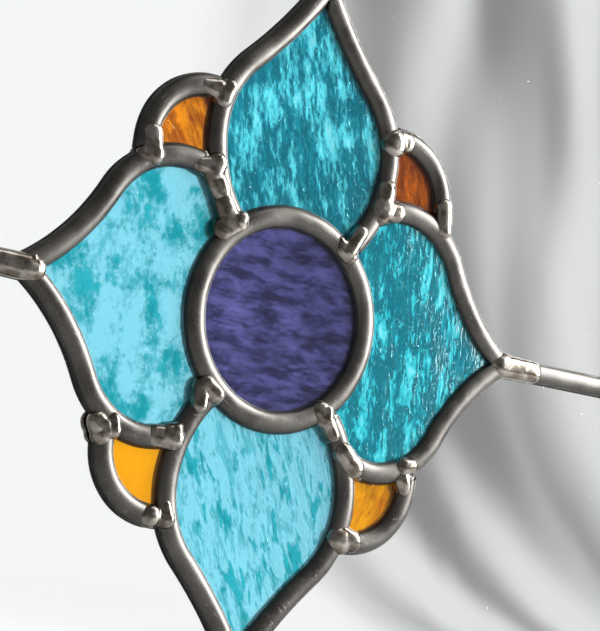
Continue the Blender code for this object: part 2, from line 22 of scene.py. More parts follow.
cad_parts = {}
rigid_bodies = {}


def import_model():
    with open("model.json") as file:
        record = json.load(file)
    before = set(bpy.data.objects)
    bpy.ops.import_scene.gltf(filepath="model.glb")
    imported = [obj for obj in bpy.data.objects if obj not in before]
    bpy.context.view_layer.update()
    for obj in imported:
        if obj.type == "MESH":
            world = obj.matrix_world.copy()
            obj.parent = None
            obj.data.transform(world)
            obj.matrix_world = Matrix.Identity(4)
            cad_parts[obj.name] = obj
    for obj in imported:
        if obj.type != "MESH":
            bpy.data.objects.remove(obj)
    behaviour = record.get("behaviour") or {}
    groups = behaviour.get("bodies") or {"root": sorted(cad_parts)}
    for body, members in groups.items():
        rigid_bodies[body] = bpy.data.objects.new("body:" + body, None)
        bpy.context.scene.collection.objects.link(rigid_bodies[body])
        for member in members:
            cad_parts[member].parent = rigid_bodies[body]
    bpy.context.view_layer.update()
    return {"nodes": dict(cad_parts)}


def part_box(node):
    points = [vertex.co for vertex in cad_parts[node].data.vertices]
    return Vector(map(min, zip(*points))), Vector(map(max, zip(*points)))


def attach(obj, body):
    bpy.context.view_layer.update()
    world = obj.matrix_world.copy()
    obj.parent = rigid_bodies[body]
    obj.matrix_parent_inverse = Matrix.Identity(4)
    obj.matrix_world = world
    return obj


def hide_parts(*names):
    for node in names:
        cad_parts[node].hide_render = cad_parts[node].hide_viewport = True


MM = 0.001
LOG = logging.getLogger("stained_glass_panel")
SAME_PLACE = 0.001 * MM
CUT_REACH = 12 * MM
SMOOTH_UNDER = math.radians(50)
X_FOR_Z = Matrix(((0, 0, 1, 0), (0, 1, 0, 0), (1, 0, 0, 0), (0, 0, 0, 1)))

Piece = bpy.types.Object
Point = Vector
Signs = tuple[int, int]
Triple = tuple[float, float, float]
Section = list[tuple[float, float]]
Plane = tuple[Sequence[float], Sequence[float]]


class Named(Enum):
    """A choice that the frame's names hold in small letters."""

    @property
    def label(self) -> str:
        """The choice as the frame writes it."""
        return self.name.lower()


class Quarter(Named):
    """The flower's four quarters, with the signs of X and Z in each."""

    TOP_RIGHT = (1, 1)
    TOP_LEFT = (-1, 1)
    BOTTOM_RIGHT = (1, -1)
    BOTTOM_LEFT = (-1, -1)

    @property
    def lying_label(self) -> str:
        """The quarter's name with the side first, as the lying petals' leads have it."""
        return "_".join(reversed(self.label.split("_")))


class Side(Named):
    """The panel's four sides, with the direction in which each lies."""

    TOP = (0, 1)
    BOTTOM = (0, -1)
    LEFT = (-1, 0)
    RIGHT = (1, 0)

    @property
    def upright(self) -> bool:
        """Whether what runs out to this side runs upright."""
        return self.value[0] == 0

    @property
    def signs(self) -> Signs:
        """The signs of X and Z of what is mirrored to this side."""
        return tuple(direction or 1 for direction in self.value)

    def out(self, distance: float) -> Point:
        """The place at a distance from the flower's middle, before it is mirrored to this side."""
        return Vector((0, distance)) if self.upright else Vector((distance, 0))


# Centrelines in the panel's plane

@dataclass(frozen=True)
class Arc:
    """A bend of a centreline, between two angles in radians from +X towards +Z."""

    centre: Point
    radius: float
    start: float
    end: float

    @property
    def length(self) -> float:
        """The length along the bend."""
        return abs(self.end - self.start) * self.radius

    def at(self, distance: float) -> tuple[Point, Point]:
        """The point and the direction at a distance along the bend."""
        turn = math.copysign(1, self.end - self.start)
        angle = self.start + turn * distance / self.radius
        out = Vector((math.cos(angle), math.sin(angle)))
        return self.centre + self.radius * out, turn * Vector((-out.y, out.x))

    def turned_over(self) -> Arc:
        """The bend with X and Z exchanged."""
        quarter = math.pi / 2
        return Arc(self.centre.yx, self.radius, quarter - self.start, quarter - self.end)

    def draw_out(self, step: float) -> None:
        """Spin what is selected in edit mode along the bend, by no more than a step at a time."""
        bpy.ops.mesh.spin(
            steps=max(2, math.ceil(self.length / step)),
            angle=self.end - self.start,
            center=(self.centre.x, 0, self.centre.y + Panel.centre_height),
            axis=(0, 1, 0),
            use_auto_merge=abs(self.end - self.start) == math.tau,
        )


@dataclass(frozen=True)
class Run:
    """A straight stretch of a centreline."""

    start: Point
    end: Point

    @property
    def length(self) -> float:
        """The length of the stretch."""
        return (self.end - self.start).length

    def at(self, distance: float) -> tuple[Point, Point]:
        """The point and the direction at a distance along the stretch."""
        tangent = (self.end - self.start).normalized()
        return self.start + distance * tangent, tangent

    def turned_over(self) -> Run:
        """The stretch with X and Z exchanged."""
        return Run(self.start.yx, self.end.yx)

    def draw_out(self, step: float) -> None:
        """Extrude what is selected in edit mode, by no more than a step at a time."""
        count = max(1, math.ceil(self.length / step))
        way = (self.end - self.start) / count
        bpy.ops.mesh.extrude_repeat(steps=count, offset=(way.x, 0, way.y))


@dataclass(frozen=True)
class Centreline:
    """A line of bends and straight stretches that run on smoothly from each other."""

    parts: tuple[Arc | Run, ...]

    @property
    def length(self) -> float:
        """The whole length."""
        return sum(part.length for part in self.parts)
    @property
    def closed(self) -> bool:
        """Whether the line ends where it starts."""
        return (self.at(self.length)[0] - self.at(0)[0]).length < SAME_PLACE

    def at(self, distance: float) -> tuple[Point, Point]:
        """The point and direction at a distance from the start.

        Args:
            distance: Metres along the line; past either end the first or last part runs on.

        Returns:
            The point (x, z) and the unit direction there.
        """
        for part in self.parts[:-1]:
            if distance <= part.length:
                return part.at(distance)
            distance -= part.length
        return self.parts[-1].at(distance)

    def carried_on(self, before: float, after: float) -> Centreline:
        """The line with a straight stretch added at either end."""
        start, first = self.at(0)
        end, last = self.at(self.length)
        longer = self.parts
        if before:
            longer = (Run(start - before * first, start), *longer)
        if after:
            longer = (*longer, Run(end, end + after * last))
        return Centreline(longer)

    def turned_over(self) -> Centreline:
        """The line with X and Z exchanged."""
        return Centreline(tuple(part.turned_over() for part in self.parts))


def circles_meet(first: Point, radius: float, second: Point, second_radius: float) -> Point:
    """Where two circles cross, to the right of the way from the first centre to the second.

    Args:
        first: The first circle's centre.
        radius: Its radius.
        second: The second circle's centre.
        second_radius: Its radius.

    Returns:
        The crossing.
    """
    way = second - first
    distance = way.length
    along = (radius**2 - second_radius**2 + distance**2) / (2 * distance)
    across = math.sqrt(radius**2 - along**2)
    way.normalize()
    return first + along * way + across * Vector((way.y, -way.x))


def angle_of(vector: Point) -> float:
    """The angle of a direction from +X towards +Z."""
    return math.atan2(vector.y, vector.x)


def on_circle(centre: Point, radius: float, level: float) -> Point:
    """The point on a circle's +X side at a height."""
    return Vector((centre.x + math.sqrt(radius**2 - (level - centre.y) ** 2), level))


@dataclass(frozen=True)
class Petal:
    """One side of a petal as three bends: inner belly, outer belly and the tip's curve."""

    half_width: float
    widest_at: float
    narrowing: float
    outer_radius: float
    tip_radius: float
    tip_at: float

    @property
    def outer_centre(self) -> Point:
        """The centre of the outer belly, as (across, along)."""
        return Vector((self.half_width - self.outer_radius, self.widest_at))

    def inner_belly(self, inner_end: Point) -> tuple[Point, float]:
        """The inner belly's centre, as (across, along), and its radius."""
        along = self.widest_at - inner_end.y
        radius = (along**2 + self.narrowing**2) / (2 * self.narrowing)
        return Vector((self.half_width - radius, self.widest_at)), radius

    def side(self, inner_end: Point) -> Centreline:
        """The line of one side from its inner end to the tip, as (across, along)."""
        inner, inner_radius = self.inner_belly(inner_end)
        outer = self.outer_centre
        tip = Vector((0, self.tip_at))
        hollow = circles_meet(outer, self.outer_radius + self.tip_radius, tip, self.tip_radius)
        turn_at = angle_of(hollow - outer)
        return Centreline((
            Arc(inner, inner_radius, angle_of(inner_end - inner), 0),
            Arc(outer, self.outer_radius, 0, turn_at),
            Arc(hollow, self.tip_radius, turn_at + math.pi, angle_of(tip - hollow) % math.tau),
        ))


@dataclass(frozen=True)
class Flower:
    """The flower's centrelines in the +X +Z quarter, and what they are worked out from."""

    ring_radius: float = 36 * MM
    upright_petal: Petal = Petal(
        37.25 * MM, 61.8 * MM, 14.6 * MM, 35.43 * MM, 178.5 * MM, 120.3 * MM
    )
    side_petal: Petal = Petal(47.75 * MM, 47.8 * MM, 4.9 * MM, 29.2 * MM, 80.6 * MM, 102.2 * MM)
    corner_radius: float = 22.8 * MM
    corner_tail_along: float = 3.75 * MM
    corner_tail_down: float = 3.25 * MM

    @property
    def ring(self) -> Centreline:
        """The lead round the roundel."""
        return Centreline((Arc(Vector((0, 0)), self.ring_radius, 0, math.tau),))

    @property
    def ring_end(self) -> Point:
        """Where an upright petal's side starts on the ring."""
        across = self.upright_petal.half_width - self.upright_petal.narrowing
        return on_circle(Vector((0, 0)), self.ring_radius, across).yx

    @property
    def upright_side(self) -> Centreline:
        """An upright petal's side, from the ring to the tip."""
        return self.upright_petal.side(self.ring_end)

    @property
    def lying_side(self) -> Centreline:
        """A lying petal's side, from the upright petal's side to the tip."""
        level = self.side_petal.half_width - self.side_petal.narrowing
        start = on_circle(*self.upright_petal.inner_belly(self.ring_end), level)
        return self.side_petal.side(start.yx).turned_over()

    @property
    def corner(self) -> Centreline:
        """The lead round a corner pane, from the upright petal's side to the lying one's."""
        centre = Vector((
            self.upright_petal.half_width + self.corner_tail_along,
            self.side_petal.half_width + self.corner_tail_down,
        ))
        bend = Arc(centre, self.corner_radius, math.pi / 2, 0)
        upright, lying = self.upright_petal, self.side_petal
        high = on_circle(upright.outer_centre, upright.outer_radius, centre.y + self.corner_radius)
        low = on_circle(lying.outer_centre, lying.outer_radius, centre.x + self.corner_radius).yx
        return Centreline((Run(high, bend.at(0)[0]), bend, Run(bend.at(bend.length)[0], low)))


# Modelling by hand, in object and edit mode

def deselect() -> None:
    """Leave nothing selected."""
    if bpy.context.object and bpy.context.object.mode != "OBJECT":
        bpy.ops.object.mode_set(mode="OBJECT")
    bpy.ops.object.select_all(action="DESELECT")


def take_up(piece: Piece) -> None:
    """Make one piece the only selected and the active one."""
    deselect()
    piece.select_set(True)
    bpy.context.view_layer.objects.active = piece


@contextmanager
def all_selected(piece: Piece) -> Iterator[None]:
    """Edit mode on a piece with its whole mesh selected."""
    take_up(piece)
    bpy.ops.object.mode_set(mode="EDIT")
    bpy.ops.mesh.select_all(action="SELECT")
    yield
    bpy.ops.object.mode_set(mode="OBJECT")


def facing_out(piece: Piece) -> None:
    """Turn a closed mesh's faces outwards."""
    with all_selected(piece):
        bpy.ops.mesh.normals_make_consistent(inside=False)


def sliced(piece: Piece, point: Sequence[float], outwards: Sequence[float]) -> None:
    """Cut away what lies beyond a plane and close the cut."""
    with all_selected(piece):
        bpy.ops.mesh.bisect(plane_co=point, plane_no=outwards, clear_outer=True, use_fill=True)


def removed(*pieces: Piece) -> None:
    """Delete helpers and their meshes."""
    for piece in pieces:
        mesh = piece.data
        bpy.data.objects.remove(piece)
        bpy.data.meshes.remove(mesh)


def joined(*pieces: Piece) -> Piece:
    """Join pieces into the first of them."""
    take_up(pieces[0])
    for piece in pieces[1:]:
        piece.select_set(True)
    bpy.ops.object.join()
    return pieces[0]


def as_placed() -> Piece:
    """The piece that was just added, with its place, turn and scale put in its mesh."""
    bpy.ops.object.transform_apply(location=True, rotation=True, scale=True)
    return bpy.context.object


def carved(piece: Piece, tool: Piece, operation: str = "DIFFERENCE") -> None:
    """Apply a Boolean of a tool to a piece; the tool stays."""
    take_up(piece)
    cut = piece.modifiers.new("carve", "BOOLEAN")
    cut.operation = operation
    cut.solver = "EXACT"
    cut.object = tool
    bpy.ops.object.modifier_apply(modifier=cut.name)


def turned(piece: Piece, turn: Matrix) -> None:
    """Turn or mirror a piece's mesh about the flower's middle."""
    middle = Matrix.Translation((0, 0, Panel.centre_height))
    piece.data.transform(middle @ turn @ middle.inverted())
    facing_out(piece)


def mirrored_copy(piece: Piece, name: str, signs: tuple[int, int, int]) -> Piece:
    """A copy of a piece, with its own mesh, mirrored about the flower's middle planes.

    Args:
        piece: The piece to copy.
        name: The copy's name.
        signs: 1 or -1 for each axis.

    Returns:
        The copy.
    """
    copy = piece.copy()
    copy.data = piece.data.copy()
    copy.name = copy.data.name = name
    bpy.context.scene.collection.objects.link(copy)
    turned(copy, Matrix.Diagonal((*signs, 1)))
    return copy


def drawn_lead(name: str, section: Section, line: Centreline, step: float) -> Piece:
    """Draw a section out along a centreline, by spinning and extruding it in edit mode.

    Args:
        name: The piece's name.
        section: The section's outline, as (across, depth).
        line: The centreline.
        step: The longest stretch between two rings of vertices.

    Returns:
        The closed solid.
    """
    deselect()
    fill = "NOTHING" if line.closed else "NGON"
    bpy.ops.mesh.primitive_circle_add(vertices=len(section), fill_type=fill)
    piece = bpy.context.object
    piece.name = piece.data.name = name
    point, tangent = line.at(0)
    for vertex, (across, depth) in zip(piece.data.vertices, section):
        spot = point + across * Vector((tangent.y, -tangent.x))
        vertex.co = (spot.x, depth, spot.y + Panel.centre_height)
    with all_selected(piece):
        for part in line.parts:
            part.draw_out(step)
        if line.closed:
            bpy.ops.mesh.select_all(action="SELECT")
            bpy.ops.mesh.remove_doubles(threshold=SAME_PLACE)
    facing_out(piece)
    return piece


def unevened(piece: Piece, amount: float, wavelength: float, seed: int) -> None:
    """Give a metal piece the slight unevenness of handwork.

    Args:
        piece: The piece.
        amount: How far a point may move.
        wavelength: The size of a dent.
        seed: Where in the noise the piece lies.
    """
    shift = Vector((seed * 17.3, seed * 5.1, seed * 9.7))
    normals = [vertex.normal.copy() for vertex in piece.data.vertices]
    for vertex, normal in zip(piece.data.vertices, normals):
        vertex.co += normal * amount * noise.noise(vertex.co / wavelength + shift)


# The panel's lead

@dataclass(frozen=True)
class Panel:
    """The panel's outer sizes, and the depths that its parts share."""

    width: float = 380 * MM
    height: float = 440 * MM
    glass_thickness: float = 3 * MM
    border_face: float = 12 * MM
    border_thickness: float = 6.4 * MM
    seam: float = 1.2 * MM

    centre_height = 220 * MM

    def half(self, side: Side) -> float:
        """The distance from the flower's middle to one side."""
        return (self.height if side.upright else self.width) / 2


@dataclass(frozen=True)
class CameSection:
    """The section of a round lead came: two beads on thin flanges, joined by the heart."""

    face: float = 8 * MM
    crown: float = 4.4 * MM
    channel_half: float = 1.95 * MM
    heart_half: float = 0.8 * MM
    flange: float = 0.16 * MM
    flange_top: float = 2.22 * MM
    groove: float = 2.12 * MM
    bead_steps: int = 22

    def front(self) -> Section:
        """The outline of the leaf at +depth, from one lip to the other."""
        half = self.face / 2
        bead_half = half - self.flange
        points = [(half, self.channel_half), (half, self.flange_top - 0.08 * MM)]
        points.append(((half + bead_half) / 2, self.flange_top))
        for index in range(self.bead_steps + 1):
            angle = math.pi * index / self.bead_steps
            rise = (self.crown - self.groove) * math.sin(angle)
            points.append((bead_half * math.cos(angle), self.groove + rise))
        return points + [(-across, depth) for across, depth in points[2::-1]]

    def outline(self) -> Section:
        """The whole section."""
        front = self.front()
        heart = [(-self.heart_half, self.channel_half), (-self.heart_half, -self.channel_half)]
        back = [(-across, -depth) for across, depth in front]
        return front + heart + back + [(-across, -depth) for across, depth in heart]


@dataclass(frozen=True)
class PuttySection:
    """The section of the putty between a came's leaf and the glass: it shows as a dark line."""

    half: float = 4.14 * MM
    inner: float = 1.53 * MM
    outer: float = 2.0 * MM

    def outline(self) -> Section:
        """The strip at +depth."""
        edge = self.half - 0.15 * MM
        right = [(self.half, self.inner), (edge, self.outer)]
        return right + [(-across, depth) for across, depth in reversed(right)]


def slab(half_width: float) -> Section:
    """A section for cutting along a lead, deeper than all."""
    right = [(half_width, -CUT_REACH), (half_width, CUT_REACH)]
    return right + [(-across, depth) for across, depth in reversed(right)]


@dataclass
class LeadWork:
    """The round cames, with the putty under their leaves."""

    flower: Flower
    panel: Panel
    came: CameSection = CameSection()
    putty: PuttySection = PuttySection()
    step: float = 1.6 * MM
    cutter_step: float = 2.5 * MM
    unevenness: float = 0.09 * MM
    dent: float = 9 * MM
    run_on: float = 12 * MM
    tip_overlap: float = 2 * MM
    border_gap: float = 0.3 * MM
    made: int = 0

    def cutter(self, line: Centreline, before: float, after: float) -> Piece:
        """A strip over a came and the seam beside it."""
        half = self.came.face / 2 + self.panel.seam
        line = line.carried_on(before, after)
        return drawn_lead("strip", slab(half), line, self.cutter_step)

    def disc(self) -> Piece:
        """A disc over the ring's came and the seam round it."""
        deselect()
        bpy.ops.mesh.primitive_cylinder_add(
            vertices=128, radius=self.flower.ring_radius + self.came.face / 2 + self.panel.seam,
            depth=2 * CUT_REACH, location=(0, 0, Panel.centre_height), rotation=(math.pi / 2, 0, 0),
        )
        return as_placed()

    def lengths(
        self, line: Centreline, tools: Sequence[Piece] = (), plane: Plane | None = None
    ) -> tuple[Piece, Piece]:
        """A came and its two strips of putty along one line, cut alike.

        Args:
            line: The centreline.
            tools: What their ends are cut off with.
            plane: Where they are mitred, as a point and the direction of what is cut off.

        Returns:
            The came and the putty.
        """
        lead = drawn_lead("lead", self.came.outline(), line, self.step)
        putty = drawn_lead("putty", self.putty.outline(), line, self.cutter_step)
        joined(putty, mirrored_copy(putty, "putty_back", (1, -1, 1)))
        for piece in (lead, putty):
            for tool in tools:
                carved(piece, tool)
            if plane:
                sliced(piece, *plane)
        return lead, putty

    def hand_over(self, pair: Sequence[Piece], line: str, node: str, signs: Signs) -> None:
        """Put a mirrored copy of a came and its putty in the panel.

        Args:
            pair: The came and the putty, modelled in the +X +Z quarter.
            line: What the came follows, in plain words.
            node: The frame's node that the came stands for.
            signs: The signs of X and Z.
        """
        across, up = signs
        lead, putty = (
            mirrored_copy(piece, f"{kind}_{line}", (across, 1, up))
            for kind, piece in zip(("lead", "putty"), pair)
        )
        unevened(lead, self.unevenness, self.dent, self.made)
        settle(lead, LeadFinish(), node)
        settle(putty, PuttyFinish())
        self.made += 2

    def build(self) -> None:
        """Model every round came of the flower. The upright petals' sides start on the ring, the
        lying ones' on the upright ones', and the corners' arcs run between the two."""
        upright, lying = self.flower.upright_side, self.flower.lying_side
        strips = self.cutter(upright, self.run_on, self.run_on), self.cutter(lying, 0, self.run_on)
        disc = self.disc()
        half_seam = self.panel.seam / 2
        ring = self.lengths(self.flower.ring)
        rising = self.lengths(
            upright.carried_on(0, self.run_on), [disc], ((half_seam, 0, 0), (-1, 0, 0))
        )
        resting = self.lengths(
            lying.carried_on(0, self.run_on), strips[:1],
            ((0, 0, Panel.centre_height + half_seam), (0, 0, -1)),
        )
        bent = self.lengths(self.flower.corner, strips)
        self.hand_over(ring, "ring", "ring_came", (1, 1))
        for quarter in Quarter:
            for pair, kind, label in (
                (rising, "upright_petal", quarter.label),
                (resting, "side_petal", quarter.lying_label),
            ):
                self.hand_over(pair, f"{kind}_{label}", f"petal_came_{label}", quarter.value)
        for quarter in Quarter:
            label = quarter.label
            self.hand_over(bent, f"corner_{label}", f"corner_came_{label}", quarter.value)
        removed(disc, *strips, *ring, *rising, *resting, *bent)
        self.build_straights(upright, (Side.TOP, Side.BOTTOM))
        self.build_straights(lying.turned_over(), (Side.RIGHT, Side.LEFT))

    def build_straights(self, petal_side: Centreline, sides: tuple[Side, Side]) -> None:
        """The straight leads from two petals' tips to the border.

        Args:
            petal_side: The petals' side, standing upright.
            sides: The panel's sides that the leads run to.
        """
        tip = petal_side.at(petal_side.length)[0]
        near = self.cutter(petal_side, 0, self.tip_overlap)
        far = mirrored_copy(near, "far_strip", (-1, 1, 1))
        start = tip - Vector((0, self.tip_overlap))
        end = Vector((0, self.panel.half(sides[0]) - self.panel.border_face - self.border_gap))
        pair = self.lengths(Centreline((Run(start, end),)), (near, far))
        for piece in pair:
            self.keep_end(piece)
            if not sides[0].upright:
                turned(piece, X_FOR_Z)
        for side in sides:
            label = side.label
            self.hand_over(pair, f"straight_{label}", f"straight_came_{label}", side.signs)
        removed(near, far, *pair)

    @staticmethod
    def keep_end(piece: Piece) -> None:
        """Delete the scraps that a notch leaves, and keep the piece at the top."""
        with all_selected(piece):
            bpy.ops.mesh.select_all(action="DESELECT")
        top = max(vertex.co.z for vertex in piece.data.vertices)
        for vertex in piece.data.vertices:
            vertex.select = vertex.co.z > top - MM
        bpy.ops.object.mode_set(mode="EDIT")
        bpy.ops.mesh.select_mode(type="VERT")
        bpy.ops.mesh.select_linked()
        bpy.ops.mesh.select_all(action="INVERT")
        bpy.ops.mesh.delete(type="VERT")
        bpy.ops.object.mode_set(mode="OBJECT")


@dataclass
class Border:
    """The flat leads round the panel's edge, mitred at the corners."""

    panel: Panel
    heart: float = 3 * MM
    channel_half: float = 2 * MM
    rounding: float = 0.7 * MM
    rounding_steps: int = 4
    step: float = 3 * MM
    gap: float = 0.3 * MM
    unevenness: float = 0.08 * MM
    dent: float = 16 * MM

    def upper(self) -> Section:
        """The outline at +depth, from the channel's bottom outwards, rounded at its edges."""
        half_face = self.panel.border_face / 2
        half_depth = self.panel.border_thickness / 2 - self.unevenness
        points = [(-half_face + self.heart, self.channel_half), (half_face, self.channel_half)]
        inner = Vector((half_face - self.rounding, half_depth - self.rounding))
        outer = Vector((-half_face + self.rounding, half_depth - self.rounding))
        for centre, start in ((inner, 0), (outer, math.pi / 2)):
            for index in range(self.rounding_steps + 1):
                angle = start + math.pi / 2 * index / self.rounding_steps
                points.append((
                    centre.x + self.rounding * math.cos(angle),
                    centre.y + self.rounding * math.sin(angle),
                ))
        return points

    def build(self) -> None:
        """Model the four border leads."""
        upper = self.upper()
        section = [(across, -depth) for across, depth in reversed(upper)] + upper
        for sides, half_length in (
            ((Side.TOP, Side.BOTTOM), self.panel.width / 2),
            ((Side.RIGHT, Side.LEFT), self.panel.height / 2),
        ):
            reach = self.panel.half(sides[0])
            level = reach - self.panel.border_face / 2
            line = Centreline((Run(Vector((-half_length, level)), Vector((half_length, level))),))
            lead = drawn_lead("border", section, line, self.step)
            self.mitre(lead, half_length, reach)
            if not sides[0].upright:
                turned(lead, X_FOR_Z)
            for side in sides:
                across, up = side.signs
                piece = mirrored_copy(lead, f"border_{side.label}", (across, 1, up))
                self.wear(piece)
                settle(piece, LeadFinish(), f"border_came_{side.label}")
            removed(lead)

    def mitre(self, lead: Piece, half_length: float, reach: float) -> None:
        """Cut both ends of the upper border lead at 45 degrees."""
        for sign in (1, -1):
            slope = Vector((sign, 0, -1)).normalized()
            corner = Vector((sign * half_length, 0, reach + Panel.centre_height))
            sliced(lead, corner - slope * self.gap / 2, slope)

    def wear(self, piece: Piece) -> None:
        """Uneven the wide faces, and leave the panel's outer edge true."""
        for vertex in piece.data.vertices:
            if abs(vertex.co.y) > self.channel_half + 0.1 * MM:
                lift = self.unevenness * noise.noise(vertex.co / self.dent)
                vertex.co.y += math.copysign(lift, vertex.co.y)


# Solder

@dataclass(frozen=True)
class Drop:
    """A run of solder laid between two places, in millimetres from the joint's middle, away from
    the flower's middle: start and end as (across, up), the half widths there, and the height of
    its crown above the middle of the glass."""

    start: tuple[float, float]
    end: tuple[float, float]
    radius: float
    end_radius: float
    crown: float


def along_seam(
    start: tuple[float, float], middle: tuple[float, float], end: tuple[float, float]
) -> tuple[Drop, ...]:
    """The thin solder that fills the gap between a butted lead and the one it meets."""
    return Drop(middle, start, 2.0, 1.2, 4.5), Drop(middle, end, 2.0, 1.2, 4.5)


@dataclass(frozen=True)
class Joint:
    """One soldered joint: its name, its middle, its signs and its drops. All but those on the
    border stand for the node of the same name."""

    name: str
    middle: Point
    signs: Signs
    drops: tuple[Drop, ...]
    turned: bool = False

    @classmethod
    def on_axis(cls, kind: str, side: Side, distance: float, drops: tuple[Drop, ...]) -> Joint:
        """A joint straight out towards one side, at a distance from the flower's middle."""
        name = f"solder_{kind}_{side.label}"
        return cls(name, side.out(distance), side.signs, drops, not side.upright)


@dataclass
class Soldering:
    """The soldered joints, each run on by hand and so unlike the next."""

    flower: Flower
    panel: Panel
    nodes: dict[str, Piece]
    underside: float = 1.75 * MM
    proudest: float = 5.7 * MM
    voxel: float = 0.33 * MM
    fullness: float = 2.9
    unevenness: float = 0.07 * MM
    dent: float = 4.5 * MM
    first_seed: int = 40
    smoothing: int = 12

    def joints(self) -> list[Joint]:
        """Every joint: round the flower, at the tips, on the border and at its corners."""
        found = []
        for kind, (middle, seam, by_quarter) in FLOWER_JOINTS.items():
            for quarter, drops in by_quarter.items():
                name = f"solder_{kind}_{quarter.label}"
                drops = drops + along_seam(*seam)
                found.append(Joint(name, Vector(middle) * MM, quarter.value, drops))
        for side, drops in TIP_DROPS.items():
            petal = self.flower.upright_petal if side.upright else self.flower.side_petal
            found.append(Joint.on_axis("tip", side, petal.tip_at, drops))
        face = self.panel.border_face
        for side in Side:
            found.append(Joint.on_axis("edge", side, self.panel.half(side) - face, EDGE_DROPS))
        corner = Vector([self.panel.half(side) - face / 2 for side in (Side.RIGHT, Side.TOP)])
        for quarter in Quarter:
            name = f"solder_mitre_{quarter.label}"
            found.append(Joint(name, corner, quarter.value, MITRE_DROPS))
        return found

    @staticmethod
    def ball(spot: Point, radius: float) -> None:
        """Add a ball about a place in the glass's middle plane."""
        bpy.ops.mesh.primitive_uv_sphere_add(
            segments=40, ring_count=20, radius=radius,
            location=(spot.x, 0, spot.y + Panel.centre_height),
        )

    def drop(self, joint: Joint, drop: Drop, facing: int) -> Piece:
        """Model one run of solder as the hull of two balls, filled out and cut off flat.

        Args:
            joint: The joint it belongs to.
            drop: Its places and sizes.
            facing: -1 for the front, 1 for the back.

        Returns:
            A closed solid.
        """
        deselect()
        middle, signs = joint.middle, Vector(joint.signs)
        start, end = (
            (middle + Vector(place[::-1] if joint.turned else place) * MM) * signs
            for place in (drop.start, drop.end)
        )
        self.ball(start, drop.radius * MM)
        piece = as_placed()
        with all_selected(piece):
            self.ball(end, drop.end_radius * MM)
            bpy.ops.mesh.select_all(action="SELECT")
            bpy.ops.mesh.convex_hull()
        rise = drop.crown * MM - self.underside
        widest = max(drop.radius, drop.end_radius) * MM
        for vertex in piece.data.vertices:
            share = min(1.0, abs(vertex.co.y) / widest)
            full = (1 - (1 - share**2) ** (self.fullness / 2)) ** (1 / self.fullness)
            vertex.co.y = math.copysign(full * rise, vertex.co.y) + facing * self.underside
        sliced(piece, (0, facing * self.underside, 0), (0, -facing, 0))
        facing_out(piece)
        return piece

    def face(self, joint: Joint, facing: int) -> Piece:
        """The solder on one face of a joint, melted into one.

        Args:
            joint: The joint.
            facing: -1 for the front, 1 for the back.

        Returns:
            A closed solid.
        """
        piece = joined(*[self.drop(joint, drop, facing) for drop in joint.drops])
        piece.data.remesh_voxel_size = self.voxel
        bpy.ops.object.voxel_remesh()
        smooth = piece.modifiers.new("melt", "SMOOTH")
        smooth.iterations = self.smoothing
        smooth.factor = 0.5
        bpy.ops.object.modifier_apply(modifier=smooth.name)
        return piece

    def build(self) -> None:
        """Model every joint."""
        for number, joint in enumerate(self.joints(), self.first_seed):
            piece = joined(self.face(joint, -1), self.face(joint, 1))
            unevened(piece, self.unevenness, self.dent, number)
            for vertex in piece.data.vertices:
                vertex.co.y = max(-self.proudest, min(self.proudest, vertex.co.y))
            piece.name = piece.data.name = joint.name.replace("solder_", "bead_")
            settle(piece, SolderFinish(), joint.name if joint.name in self.nodes else "")


RING_DROPS = {
    Quarter.TOP_RIGHT: (
        Drop((-5.2, -0.8), (-2.2, -2.8), 3.7, 3.9, 5.2),
        Drop((-2.6, -1.4), (1.6, 6.0), 3.3, 3.1, 5.7),
        Drop((-7.0, 1.6), (-6.4, 0.6), 1.9, 2.2, 5.0),
    ),
    Quarter.TOP_LEFT: (
        Drop((4.2, -4.2), (-1.6, -0.6), 4.3, 4.2, 5.4),
        Drop((-2.6, 0.9), (-1.8, -0.2), 2.8, 3.0, 5.7),
        Drop((1.6, -0.6), (5.3, 5.0), 4.2, 4.0, 5.1),
    ),
    Quarter.BOTTOM_LEFT: (
        Drop((2.0, -3.4), (-2.0, -0.4), 3.6, 3.9, 5.7),
        Drop((3.8, -2.4), (3.6, 4.2), 3.3, 3.2, 5.5),
    ),
    Quarter.BOTTOM_RIGHT: (
        Drop((-5.0, -1.0), (-3.6, 0.4), 4.3, 4.2, 5.3),
        Drop((-2.6, -1.8), (-2.6, 1.0), 2.6, 2.8, 5.7),
        Drop((-2.6, 1.0), (1.4, 6.4), 3.4, 3.1, 5.5),
    ),
}

PETAL_DROPS = {
    Quarter.TOP_RIGHT: (
        Drop((-2.0, 0.6), (-3.2, -2.6), 5.0, 4.0, 5.6),
        Drop((-2.0, 1.0), (-1.6, 7.6), 4.0, 3.9, 5.2),
        Drop((-1.6, 8.2), (-0.6, 9.4), 2.4, 1.9, 5.5),
        Drop((0.4, -0.2), (4.2, 0.2), 4.1, 4.0, 5.1),
    ),
    Quarter.TOP_LEFT: (
        Drop((-2.2, 1.2), (-1.8, -2.2), 4.2, 3.6, 5.6),
        Drop((-0.4, -0.4), (4.4, -0.6), 4.2, 3.1, 5.4),
        Drop((-2.0, -3.0), (-5.6, -8.0), 4.1, 4.1, 4.9),
    ),
    Quarter.BOTTOM_LEFT: (
        Drop((-0.2, 0.2), (0.6, -0.4), 4.9, 4.6, 5.6),
        Drop((-1.0, -2.6), (-1.8, -3.8), 2.6, 1.9, 5.6),
        Drop((1.6, 0.3), (6.2, 0.4), 4.3, 4.1, 5.0),
    ),
    Quarter.BOTTOM_RIGHT: (
        Drop((-5.4, -4.4), (0.0, 0.4), 4.2, 4.4, 5.7),
        Drop((-6.6, -6.4), (-6.4, -5.6), 2.6, 3.0, 5.3),
    ),
}

